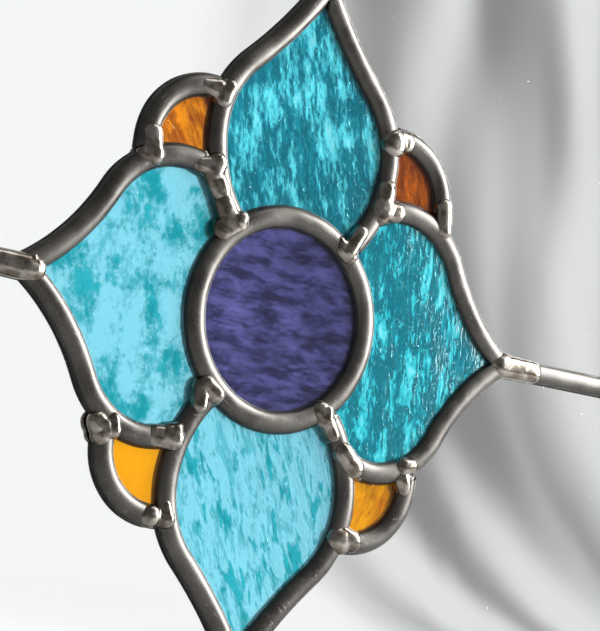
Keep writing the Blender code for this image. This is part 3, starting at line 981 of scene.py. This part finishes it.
ARC_HIGH_DROPS = {
    Quarter.TOP_RIGHT: (
        Drop((-2.9, -1.0), (-2.9, -1.3), 5.4, 5.4, 5.7),
        Drop((0.4, 0.6), (2.6, 0.4), 4.1, 4.0, 4.9),
    ),
    Quarter.TOP_LEFT: (
        Drop((-4.6, 2.0), (-2.6, -2.6), 3.3, 3.6, 5.7),
        Drop((-0.2, 0.4), (5.6, 0.6), 4.0, 2.8, 5.2),
    ),
    Quarter.BOTTOM_LEFT: (
        Drop((2.6, 1.2), (2.3, 0.9), 4.1, 4.0, 5.5),
        Drop((-2.8, -3.2), (-3.7, 1.4), 2.4, 3.6, 5.7),
    ),
    Quarter.BOTTOM_RIGHT: (
        Drop((-3.6, 0.6), (-3.2, 0.4), 5.3, 5.2, 5.5),
        Drop((-3.0, -2.6), (1.6, 0.4), 2.8, 4.2, 5.7),
    ),
}

ARC_LOW_DROPS = {
    Quarter.TOP_RIGHT: (
        Drop((0.2, 6.0), (1.4, -2.4), 3.9, 3.6, 5.6),
        Drop((1.0, -3.4), (1.6, -3.6), 2.6, 2.4, 5.0),
    ),
    Quarter.TOP_LEFT: (
        Drop((-2.4, -1.6), (-2.0, -1.0), 4.2, 4.3, 5.6),
        Drop((-0.8, 5.2), (-1.6, 0.6), 3.9, 4.0, 5.4),
        Drop((1.4, -2.2), (0.4, -2.4), 2.8, 3.0, 5.2),
    ),
    Quarter.BOTTOM_LEFT: (
        Drop((-1.5, -3.0), (-2.2, 0.8), 2.7, 2.9, 5.7),
        Drop((1.0, -1.2), (0.4, 1.4), 2.1, 2.2, 5.6),
        Drop((3.8, -1.6), (3.4, -0.6), 3.9, 3.9, 5.1),
        Drop((2.2, 2.4), (1.6, 3.2), 3.7, 3.4, 5.0),
    ),
    Quarter.BOTTOM_RIGHT: (
        Drop((-3.0, -3.4), (0.2, -4.2), 3.7, 3.2, 5.6),
        Drop((-2.6, 1.4), (-1.4, 4.4), 3.8, 3.2, 5.3),
    ),
}
# Each kind of joint round the flower: its middle and its seam in millimetres, and its drops
FLOWER_JOINTS = {
    "ring": ((26, 30.4), ((-1.5, 2.1), (0.1, 0.8), (1.7, -0.5)), RING_DROPS),
    "petal": ((38.5, 46.7), ((0.3, -2.6), (1.9, 1.0), (3.1, 3.7)), PETAL_DROPS),
    "arc_high": ((40.2, 72.6), ((0.7, -1.2), (-0.1, 1.2), (-0.9, 3.4)), ARC_HIGH_DROPS),
    "arc_low": ((63.6, 47.1), ((-1.9, 2.8), (0.2, 1.4), (2.0, 0.2)), ARC_LOW_DROPS),
}

TIP_DROPS = {
    Side.LEFT: (
        Drop((-0.6, -3.4), (-0.2, 16.0), 4.5, 4.3, 5.3),
        Drop((-1.0, -3.2), (-0.8, -1.0), 3.4, 3.6, 5.6),
        Drop((3.2, -2.4), (3.4, -2.8), 1.3, 1.1, 5.0),
    ),
    Side.RIGHT: (
        Drop((0, -1.0), (0, 14.6), 4.6, 4.3, 5.5),
        Drop((0.6, -3.2), (0.6, 0), 3.4, 4.6, 5.2),
    ),
    Side.TOP: (
        Drop((0, -0.5), (0, 12.0), 4.4, 4.2, 5.2),
        Drop((0.2, -4.0), (0, 1.0), 2.0, 3.8, 5.1),
    ),
    Side.BOTTOM: (
        Drop((0, -2.0), (0, 13.0), 4.5, 4.2, 5.4),
        Drop((-1.2, -6.0), (-0.4, -1.0), 2.9, 4.0, 5.2),
    ),
}

EDGE_DROPS = (
    Drop((0.2, -4.5), (-0.2, 1.0), 4.1, 4.5, 4.9),
    Drop((-3.4, 2.2), (3.2, 2.6), 3.0, 3.3, 4.2),
)

MITRE_DROPS = (
    Drop((-4.4, -4.2), (1.0, 1.2), 3.5, 3.7, 3.9),
    Drop((-1.0, -2.4), (0.6, -0.4), 3.2, 3.0, 4.1),
)


# Finishes

class Wire:
    """A value in a material's node tree; arithmetic on it adds Math nodes."""

    def __init__(self, recipe: Recipe, socket: bpy.types.NodeSocket) -> None:
        """Hold an output socket of one of the recipe's nodes."""
        self.recipe = recipe
        self.socket = socket

    def maths(self, operation: str, *values: Wire | float) -> Wire:
        """A Math node of the given values."""
        return self.recipe.add("ShaderNodeMath", {"operation": operation}, dict(enumerate(values)))

    def __add__(self, other: Wire | float) -> Wire:
        """The sum."""
        return self.maths("ADD", self, other)

    __radd__ = __add__

    def __sub__(self, other: Wire | float) -> Wire:
        """The difference."""
        return self.maths("SUBTRACT", self, other)

    def __rsub__(self, other: Wire | float) -> Wire:
        """The difference from a number."""
        return self.maths("SUBTRACT", other, self)

    def __mul__(self, other: Wire | float) -> Wire:
        """The product."""
        return self.maths("MULTIPLY", self, other)

    __rmul__ = __mul__

    def lifted(self, low: float, high: float) -> Wire:
        """A smooth step from 0 at low to 1 at high."""
        return self.recipe.add(
            "ShaderNodeMapRange",
            {"interpolation_type": "SMOOTHSTEP"},
            {"Value": self, "From Min": low, "From Max": high},
        )


class Recipe:
    """A material being made: a Principled shader and the nodes that feed it."""

    def __init__(self, name: str) -> None:
        """Start a material with a bare Principled shader."""
        self.material = bpy.data.materials.new(name)
        self.material.use_nodes = True
        self.tree = self.material.node_tree
        self.shader = self.tree.nodes["Principled BSDF"]

    def add(
        self,
        kind: str,
        settings: dict[str, object] | None = None,
        inputs: dict[str | int, object] | None = None,
        output: str | int = 0,
    ) -> Wire:
        """Add a node.

        Args:
            kind: The node's type.
            settings: Its properties.
            inputs: The values or wires of its sockets.
            output: Which output is wanted.

        Returns:
            The output as a wire.
        """
        node = self.tree.nodes.new(kind)
        for key, value in (settings or {}).items():
            setattr(node, key, value)
        for key, value in (inputs or {}).items():
            self.feed(node.inputs[key], value)
        return Wire(self, node.outputs[output])

    def feed(self, socket: bpy.types.NodeSocket, value: object) -> None:
        """Set a socket, or link a wire to it."""
        if isinstance(value, Wire):
            self.tree.links.new(value.socket, socket)
        elif isinstance(value, tuple) and len(value) == 3 and len(socket.default_value) == 4:
            socket.default_value = (*value, 1)
        else:
            socket.default_value = value

    def set(self, **values: object) -> None:
        """Set or feed the shader's own sockets; an underscore stands for a space."""
        for key, value in values.items():
            self.feed(self.shader.inputs[key.replace("_", " ")], value)

    def place(
        self, scale: Triple = (1, 1, 1), turn: float = 0.0, shift: Triple = (0, 0, 0)
    ) -> Wire:
        """Object coordinates, stretched, turned about Y and shifted."""
        coordinates = self.add("ShaderNodeTexCoord", output="Object")
        turning = {"Vector": coordinates, "Rotation": (0, turn, 0)}
        turned_place = self.add("ShaderNodeMapping", {}, turning)
        stretching = {"Vector": turned_place, "Scale": scale, "Location": shift}
        return self.add("ShaderNodeMapping", {}, stretching)

    def noise(
        self, place: Wire, scale: float, detail: float = 3, roughness: float = 0.5, warp: float = 0
    ) -> Wire:
        """Soft noise; scale is in features for each metre."""
        inputs = {
            "Vector": place, "Scale": scale, "Detail": detail, "Roughness": roughness,
            "Distortion": warp,
        }
        return self.add("ShaderNodeTexNoise", {}, inputs)

    def mixed(self, share: Wire | float, first: object, second: object) -> Wire:
        """A mix of two colours."""
        return self.add(
            "ShaderNodeMix", {"data_type": "RGBA"}, {0: share, 6: first, 7: second}, output=2
        )

    def relief(self, height: Wire, depth: float) -> Wire:
        """A bump of a height between 0 and 1, for the shader's Normal."""
        return self.add("ShaderNodeBump", {}, {"Height": height, "Distance": depth, "Strength": 1})


@dataclass(frozen=True)
class LeadFinish:
    """Round lead: dark and satin, with faint tarnish and the scratches of the wire brush."""

    name: str = "dark_lead"
    dark: Triple = (0.049, 0.046, 0.042)
    bright: Triple = (0.092, 0.087, 0.080)

    def mixed_up(self) -> bpy.types.Material:
        """Make the material."""
        recipe = Recipe(self.name)
        place = recipe.place()
        tarnish = recipe.noise(place, 90, 3, 0.55)
        grain = recipe.noise(place, 1500, 3, 0.6)
        brushed = recipe.noise(recipe.place((1, 1, 0.05), 0.9), 4200, 2, 0.6)
        crossed = recipe.noise(recipe.place((1, 1, 0.04), -0.6, (3, 1, 2)), 3000, 2, 0.6)
        scratches = brushed.lifted(0.64, 0.72) * recipe.noise(place, 150, 2).lifted(0.47, 0.60)
        gouges = crossed.lifted(0.68, 0.73) * recipe.noise(place, 110, 2).lifted(0.52, 0.64)
        pits = recipe.noise(place, 1900, 1).lifted(0.74, 0.80)
        tone = (tarnish * 0.65 + grain * 0.35).lifted(0.3, 0.7)
        lead = recipe.mixed(tone, self.dark, self.bright)
        recipe.set(
            Base_Color=recipe.mixed((scratches + gouges) * 0.5, lead, (0.3, 0.29, 0.27)),
            Metallic=1.0,
            Roughness=0.27 + tarnish.lifted(0.35, 0.65) * 0.08 + grain * 0.06 - scratches * 0.1,
            Normal=recipe.relief(
                grain * 0.3 + brushed * 0.12 - scratches * 0.6 - gouges * 1.0 - pits * 0.6,
                0.042 * MM,
            ),
        )
        return recipe.material


@dataclass(frozen=True)
class SolderFinish:
    """Solder: smoother than the lead and a little warmer, dull in patches."""

    name: str = "tinned_solder"

    def mixed_up(self) -> bpy.types.Material:
        """Make the material."""
        recipe = Recipe(self.name)
        place = recipe.place()
        patches = recipe.noise(place, 200, 2, 0.5)
        skin = recipe.noise(place, 520, 2, 0.5, 0.4)
        grain = recipe.noise(place, 2400, 2, 0.5)
        recipe.set(
            Base_Color=recipe.mixed(
                patches.lifted(0.38, 0.62), (0.098, 0.082, 0.066), (0.235, 0.215, 0.190)
            ),
            Metallic=1.0,
            Roughness=0.13 + patches * 0.10 + skin.lifted(0.5, 0.75) * 0.08,
            Normal=recipe.relief(skin * 0.8 + grain * 0.08, 0.06 * MM),
        )
        return recipe.material


@dataclass(frozen=True)
class PuttyFinish:
    """Old black putty."""

    name: str = "black_putty"

    def mixed_up(self) -> bpy.types.Material:
        """Make the material."""
        recipe = Recipe(self.name)
        grain = recipe.noise(recipe.place(), 1800, 3, 0.6)
        recipe.set(
            Base_Color=recipe.mixed(
                grain.lifted(0.3, 0.7), (0.010, 0.012, 0.012), (0.030, 0.033, 0.033)
            ),
            Roughness=0.75 + grain * 0.2,
            Normal=recipe.relief(grain, 0.08 * MM),
        )
        return recipe.material


@dataclass(frozen=True)
class GlassFinish:
    """Hazy coloured sheet glass, streaked by hand: a pale and a deep tone and how they run, and a
    painted glint colour mixed into the palest streaks and the seeds.
    """

    name: str
    pale: Triple
    deep: Triple
    spread: float = 0.5
    softness: float = 0.06
    grain: Triple = (1, 1, 0.3)
    turn: float = 0.0
    streaks: float = 130
    flecks: float = 420
    fleck_share: float = 0.45
    # A painted glint: the colour mixed into the palest streaks and the seeds, and the share below
    # which streaks take it
    glint: Triple = (0.42, 0.92, 0.97)
    glints: float = 0.30
    seeds: float = 0.77
    shift: float = 0.0
    clearness: float = 0.82
    haze: float = 0.07
    ripple: float = 0.14 * MM

    def mixed_up(self) -> bpy.types.Material:
        """Make the material."""
        recipe = Recipe(self.name)
        shift = (self.shift, self.shift * 0.37, self.shift * 0.71)
        place = recipe.place(self.grain, self.turn, shift)
        streaks = recipe.noise(place, self.streaks, 3, 0.55, 0.4)
        flecks = recipe.noise(place, self.flecks, 3, 0.65, 0.3)
        share = streaks * (1 - self.fleck_share) + flecks * self.fleck_share
        deep = share.lifted(self.spread - self.softness, self.spread + self.softness)
        # Painted glint: the palest streaks are mixed towards the glint colour, over the glass's own
        # pale tone
        painted_glint_streaks = 1 - share.lifted(self.glints, self.glints + 0.09)
        bubbles = recipe.noise(recipe.place((1, 1, 0.5), self.turn, shift), 1300, 1)
        # Seeds: bubbles that dimple the surface, and that also carry a painted glint in the base
        # colour
        seeds = bubbles.lifted(self.seeds, self.seeds + 0.05)
        tint = recipe.mixed(deep, self.pale, self.deep)
        recipe.set(
            Base_Color=recipe.mixed(painted_glint_streaks * 0.6 + seeds * 0.4, tint, self.glint),
            Roughness=self.haze,
            IOR=1.52,
            Transmission_Weight=self.clearness,
            Normal=recipe.relief(flecks * 0.6 + streaks * 0.6 - seeds * 0.5, self.ripple),
        )
        return recipe.material


@dataclass(frozen=True)
class ClearGlassFinish:
    """Clear sheet glass, faintly reamy, with a few seeds."""

    name: str = "clear_sheet"

    def mixed_up(self) -> bpy.types.Material:
        """Make the material."""
        recipe = Recipe(self.name)
        reams = recipe.noise(recipe.place((1, 1, 0.3), 0.25), 30, 1, 0.5, 0.3)
        seeds = recipe.noise(recipe.place((1, 1, 0.6)), 700, 0).lifted(0.86, 0.88)
        recipe.set(
            Base_Color=(0.965, 0.985, 0.975),
            Roughness=0.0,
            IOR=1.52,
            Transmission_Weight=1.0,
            Normal=recipe.relief(reams * 0.9 - seeds * 0.1, 0.12 * MM),
        )
        return recipe.material


PALE_TURQUOISE = (0.25, 0.71, 0.86)
DEEP_TURQUOISE = (0.003, 0.35, 0.415)

PANE_FINISHES = {
    "roundel_glass": GlassFinish(
        "purple_sheet", (0.125, 0.125, 0.385), (0.026, 0.026, 0.085), spread=0.50, softness=0.11,
        grain=(0.42, 1, 1.3), streaks=190, flecks=560, fleck_share=0.35, shift=4.0,
        glint=(0.22, 0.22, 0.50), seeds=0.80,
    ),
    "petal_glass_left": GlassFinish(
        "turquoise_sheet_left", PALE_TURQUOISE, DEEP_TURQUOISE, spread=0.53, softness=0.07,
        grain=(1, 1, 0.75), turn=0.2, streaks=115, flecks=620, fleck_share=0.33, shift=1.0,
        glints=0.2,
    ),
    "petal_glass_bottom": GlassFinish(
        "turquoise_sheet_bottom", PALE_TURQUOISE, DEEP_TURQUOISE, spread=0.54, softness=0.045,
        grain=(1, 1, 0.30), turn=0.42, streaks=240, flecks=640, fleck_share=0.4, shift=2.0,
        glints=0.2,
    ),
    # The top and right petals: the same turquoise glass as the left and bottom ones, with darker
    # deep tones that are partly the sheet's own streaks and partly painted shade for the dimmer
    # light behind them
    "petal_glass_top": GlassFinish(
        "turquoise_sheet_top", (0.12, 0.82, 0.95), (0.0005, 0.17, 0.235), spread=0.47,
        softness=0.065, grain=(1, 1, 0.32), turn=0.26, streaks=200, flecks=760, fleck_share=0.42,
        shift=3.0, glints=0.34, seeds=0.72, clearness=0.70,
    ),
    "petal_glass_right": GlassFinish(
        "turquoise_sheet_right", (0.05, 0.76, 0.87), (0.0005, 0.195, 0.26), spread=0.46,
        softness=0.065, grain=(1, 1, 0.32), turn=0.1, streaks=190, flecks=760, fleck_share=0.42,
        shift=6.0, glints=0.34, seeds=0.71, clearness=0.62,
    ),
    "corner_glass_bottom_left": GlassFinish(
        "amber_sheet_bottom_left", (1.0, 0.45, 0.002), (0.95, 0.41, 0.002), streaks=90,
        shift=1.5, ripple=0.05 * MM, glints=0, seeds=0.95,
    ),
    "corner_glass_bottom_right": GlassFinish(
        "amber_sheet_bottom_right", (1.0, 0.46, 0.006), (0.60, 0.17, 0.006), spread=0.52,
        softness=0.09, grain=(1, 1, 0.35), turn=-0.4, streaks=220, shift=2.5, glints=0,
    ),
    "corner_glass_top_left": GlassFinish(
        "amber_sheet_top_left", (0.92, 0.33, 0.008), (0.31, 0.063, 0.004), spread=0.5,
        softness=0.09, grain=(1, 1, 0.35), turn=0.5, streaks=220, shift=3.5, glints=0,
    ),
    "corner_glass_top_right": GlassFinish(
        "amber_sheet_top_right", (0.60, 0.14, 0.006), (0.22, 0.038, 0.003), spread=0.5,
        softness=0.1, grain=(1, 1, 0.35), turn=0.1, streaks=220, shift=4.5, glints=0,
    ),
}


class Finish(Enum):
    """The record's slot that a pane belongs to."""

    ROUNDEL = "purple_glass"
    PETAL = "turquoise_glass"
    CORNER = "amber_glass"
    CLEAR = "clear_glass"

    @classmethod
    def of(cls, node: str) -> Finish:
        """The slot of a pane, by its node's name."""
        return cls[node.split("_")[0].upper()]


def settle(piece: Piece, finish: object, node: str = "") -> None:
    """Give a finished piece its material and its body, and report it.

    Args:
        piece: The piece.
        finish: Its finish, which is mixed up once for all the pieces that share it.
        node: The frame's node that it stands for, if there is one.
    """
    material = bpy.data.materials.get(finish.name) or finish.mixed_up()
    piece.data.materials.clear()
    piece.data.materials.append(material)
    take_up(piece)
    bpy.ops.object.shade_smooth_by_angle(angle=SMOOTH_UNDER)
    if node:
        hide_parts(node)
    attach(piece, "root")
    LOG.info("%s: %d faces", piece.name, len(piece.data.polygons))


@dataclass(frozen=True)
class Ripples:
    """A sheet's ripples: how far a face moves in or out, a ripple's width, how many times longer
    it is, and the size of the faces that show it."""

    amount: float
    wavelength: float
    stretch: float
    cell: float

    def given_to(self, piece: Piece, seed: int) -> None:
        """Ripple both faces of a sheet, each by itself, at the seed's place in the noise."""
        for vertex in piece.data.vertices:
            facing = math.copysign(1, vertex.co.y)
            layer = facing * self.wavelength + seed
            spot = Vector((vertex.co.x, layer, vertex.co.z / self.stretch)) / self.wavelength
            vertex.co.y += facing * self.amount * (noise.noise(spot) - 0.4)


@dataclass
class Glazing:
    """The panes, each a fine sheet cut to its node's outline and rippled on both faces."""

    panel: Panel
    nodes: dict[str, Piece]
    coloured: Ripples = Ripples(0.10 * MM, 7 * MM, 2, 1.0 * MM)
    clear: Ripples = Ripples(0.03 * MM, 30 * MM, 3, 1.7 * MM)
    margin: float = 1.01

    def build(self) -> None:
        """Model every pane."""
        names = [name for name in self.nodes if "glass" in name]
        for number, node in enumerate(sorted(names)):
            slot = Finish.of(node)
            clear = slot is Finish.CLEAR
            ripples = self.clear if clear else self.coloured
            piece = self.sheet(node, ripples.cell)
            ripples.given_to(piece, number)
            piece.name = piece.data.name = f"{node.replace('_glass', '')}_pane"
            settle(piece, ClearGlassFinish() if clear else PANE_FINISHES[node], node)

    def outline(self, node: str) -> Piece:
        """A tool with the pane's outline, thicker than the sheet."""
        tool = self.nodes[node].copy()
        tool.data = self.nodes[node].data.copy()
        tool.parent = None
        tool.name = "outline"
        for key in list(tool.keys()):
            if key.startswith("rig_"):
                del tool[key]
        bpy.context.scene.collection.objects.link(tool)
        tool.matrix_world = Matrix.Identity(4)
        with all_selected(tool):
            bpy.ops.mesh.remove_doubles(threshold=0.01 * MM)
            bpy.ops.mesh.normals_make_consistent(inside=False)
            bpy.ops.transform.resize(value=(1, 2, 1), center_override=(0, 0, 0))
        return tool

    def sheet(self, node: str, cell: float) -> Piece:
        """A finely divided sheet, cut to a pane's outline.

        Args:
            node: The pane's node.
            cell: The size of a face.

        Returns:
            The pane, flat.
        """
        low, high = (Vector(corner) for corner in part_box(node))
        size, middle = high - low, (low + high) / 2
        deselect()
        bpy.ops.mesh.primitive_grid_add(
            x_subdivisions=math.ceil(size.x / cell), y_subdivisions=math.ceil(size.z / cell),
            size=1, rotation=(math.pi / 2, 0, 0),
            location=(middle.x, -self.panel.glass_thickness / 2, middle.z),
        )
        piece = bpy.context.object
        piece.scale = (size.x * self.margin, size.z * self.margin, 1)
        as_placed()
        with all_selected(piece):
            bpy.ops.mesh.extrude_region_move(
                TRANSFORM_OT_translate={"value": (0, self.panel.glass_thickness, 0)}
            )
        facing_out(piece)
        tool = self.outline(node)
        carved(piece, tool, "INTERSECT")
        removed(tool)
        return piece


# The studio

@dataclass(frozen=True)
class Camera:
    """The photograph's view, as angles in degrees and a distance from the flower's middle."""

    yaw: float = 34.678
    pitch: float = 6.242
    roll: float = 7.840
    distance: float = 696.77 * MM
    aside: float = 7.283 * MM
    above: float = 1.496 * MM
    lens: float = 113.65

    def axes(self) -> tuple[Vector, Vector, Vector]:
        """The camera's right, up and forward directions."""
        yaw, pitch, roll = (math.radians(angle) for angle in (self.yaw, self.pitch, self.roll))
        forward = Vector((
            math.sin(yaw) * math.cos(pitch), math.cos(yaw) * math.cos(pitch), math.sin(pitch)
        ))
        level = Vector((math.cos(yaw), -math.sin(yaw), 0))
        overhead = level.cross(forward)
        right = level * math.cos(roll) + overhead * math.sin(roll)
        up = overhead * math.cos(roll) - level * math.sin(roll)
        return right, up, forward

    def set_up(self) -> None:
        """Put the camera in the scene."""
        right, up, forward = self.axes()
        middle = Vector((0, 0, Panel.centre_height))
        deselect()
        bpy.ops.object.camera_add()
        camera = bpy.context.object
        turn = Matrix((right, up, -forward)).transposed().to_4x4()
        place = middle + self.aside * right + self.above * up - self.distance * forward
        camera.matrix_world = Matrix.Translation(place) @ turn
        camera.data.lens = self.lens
        camera.data.sensor_width = 36
        camera.data.clip_start = 0.05
        bpy.context.scene.camera = camera


@dataclass(frozen=True)
class Softbox:
    """An area light."""

    name: str
    place: Triple
    size: tuple[float, float]
    power: float

    def hang(self) -> None:
        """Put the light in the scene, facing the flower's middle."""
        deselect()
        bpy.ops.object.light_add(type="AREA", location=self.place)
        light = bpy.context.object
        light.name = self.name
        light.data.shape = "RECTANGLE"
        light.data.size, light.data.size_y = self.size
        light.data.energy = self.power
        aim = Vector((0, 0, Panel.centre_height)) - Vector(self.place)
        light.rotation_euler = aim.to_track_quat("-Z", "Y").to_euler()


@dataclass
class Studio:
    """A pale floor that sweeps up into a glowing backdrop well behind, and soft light."""

    width: float = 9.0
    middle: float = 0.9
    front: float = -3.0
    bend_from: float = 1.75
    bend_radius: float = 0.85
    bend_steps: int = 16
    top: float = 4.0
    surround: float = 0.32
    softboxes: tuple[Softbox, ...] = (
        Softbox("key_right", (1.25, -0.74, 0.72), (0.62, 1.1), 68),
        Softbox("high_front", (0.75, -0.65, 1.55), (1.0, 0.5), 6),
    )

    def build(self) -> None:
        """Set up the sweep, the light and the camera."""
        self.sweep()
        self.light_world()
        for softbox in self.softboxes:
            softbox.hang()
        Camera().set_up()

    def sweep(self) -> Piece:
        """The floor and the backdrop in one sheet."""
        deselect()
        depth = self.bend_from - self.front
        bpy.ops.mesh.primitive_plane_add(
            size=1, location=(self.middle, self.front + depth / 2, 0)
        )
        sheet = bpy.context.object
        sheet.name = "sweep"
        sheet.scale = (self.width, depth, 1)
        as_placed()
        far = [vertex.co.y > self.bend_from - MM for vertex in sheet.data.vertices]
        for vertex in sheet.data.vertices:
            vertex.select = far[vertex.index]
        for edge in sheet.data.edges:
            edge.select = all(far[index] for index in edge.vertices)
        sheet.data.polygons[0].select = False
        bpy.ops.object.mode_set(mode="EDIT")
        bpy.ops.mesh.select_mode(type="EDGE")
        angles = [math.pi / 2 * step / self.bend_steps for step in range(self.bend_steps + 1)]
        curve = [(math.sin(angle), 1 - math.cos(angle)) for angle in angles]
        for (near, low), (far, high) in zip(curve, curve[1:]):
            rise = (0, (far - near) * self.bend_radius, (high - low) * self.bend_radius)
            bpy.ops.mesh.extrude_edges_move(TRANSFORM_OT_translate={"value": rise})
        bpy.ops.mesh.extrude_edges_move(TRANSFORM_OT_translate={"value": (0, 0, self.top)})
        bpy.ops.object.mode_set(mode="OBJECT")
        sheet.data.materials.append(self.screen())
        take_up(sheet)
        bpy.ops.object.shade_smooth()
        return sheet

    def screen(self) -> bpy.types.Material:
        """White paper in front; behind, a glow that greys to the right in soft upright bands."""
        recipe = Recipe("soft_screen")
        apart = recipe.place()
        across = recipe.add("ShaderNodeSeparateXYZ", {}, {0: apart}, output="X")
        back = recipe.add("ShaderNodeSeparateXYZ", {}, {0: apart}, output="Y").lifted(0.5, 1.5)
        bands = recipe.noise(recipe.place((1, 0, 0.28), 0.15, (5.2, 0, 0)), 3.4, 1, 0.4, 0.25)
        grey = across.lifted(1.45, 1.85)
        level = 1 - grey * (0.74 - bands.lifted(0.40, 0.66) * 0.56)
        shade = recipe.mixed(level, (0.0, 0.0, 0.0), (1.0, 1.0, 1.0))
        shade = recipe.mixed(across.lifted(2.9, 4.6), shade, (self.surround,) * 3)
        recipe.set(
            Base_Color=recipe.mixed(back, (0.62, 0.62, 0.62), (0.0, 0.0, 0.0)),
            Roughness=1.0,
            Specular_IOR_Level=0.0,
            Emission_Color=recipe.mixed(back, (0.0, 0.0, 0.0), shade),
            Emission_Strength=1.0,
        )
        return recipe.material

    def light_world(self) -> None:
        """An even pale surround."""
        world = bpy.data.worlds.new("studio")
        world.use_nodes = True
        background = world.node_tree.nodes["Background"]
        background.inputs["Color"].default_value = (1, 1, 1, 1)
        background.inputs["Strength"].default_value = self.surround
        bpy.context.scene.world = world
        bpy.context.scene.view_settings.view_transform = "Standard"


def main() -> None:
    """Load the frame and build the looks round it."""
    logging.basicConfig(level=logging.INFO, format="%(message)s")
    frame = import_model()
    flower, panel = Flower(), Panel()
    Studio().build()
    LeadWork(flower, panel).build()
    Border(panel).build()
    Glazing(panel, frame["nodes"]).build()
    Soldering(flower, panel, frame["nodes"]).build()


if __name__ == "__main__":
    main()
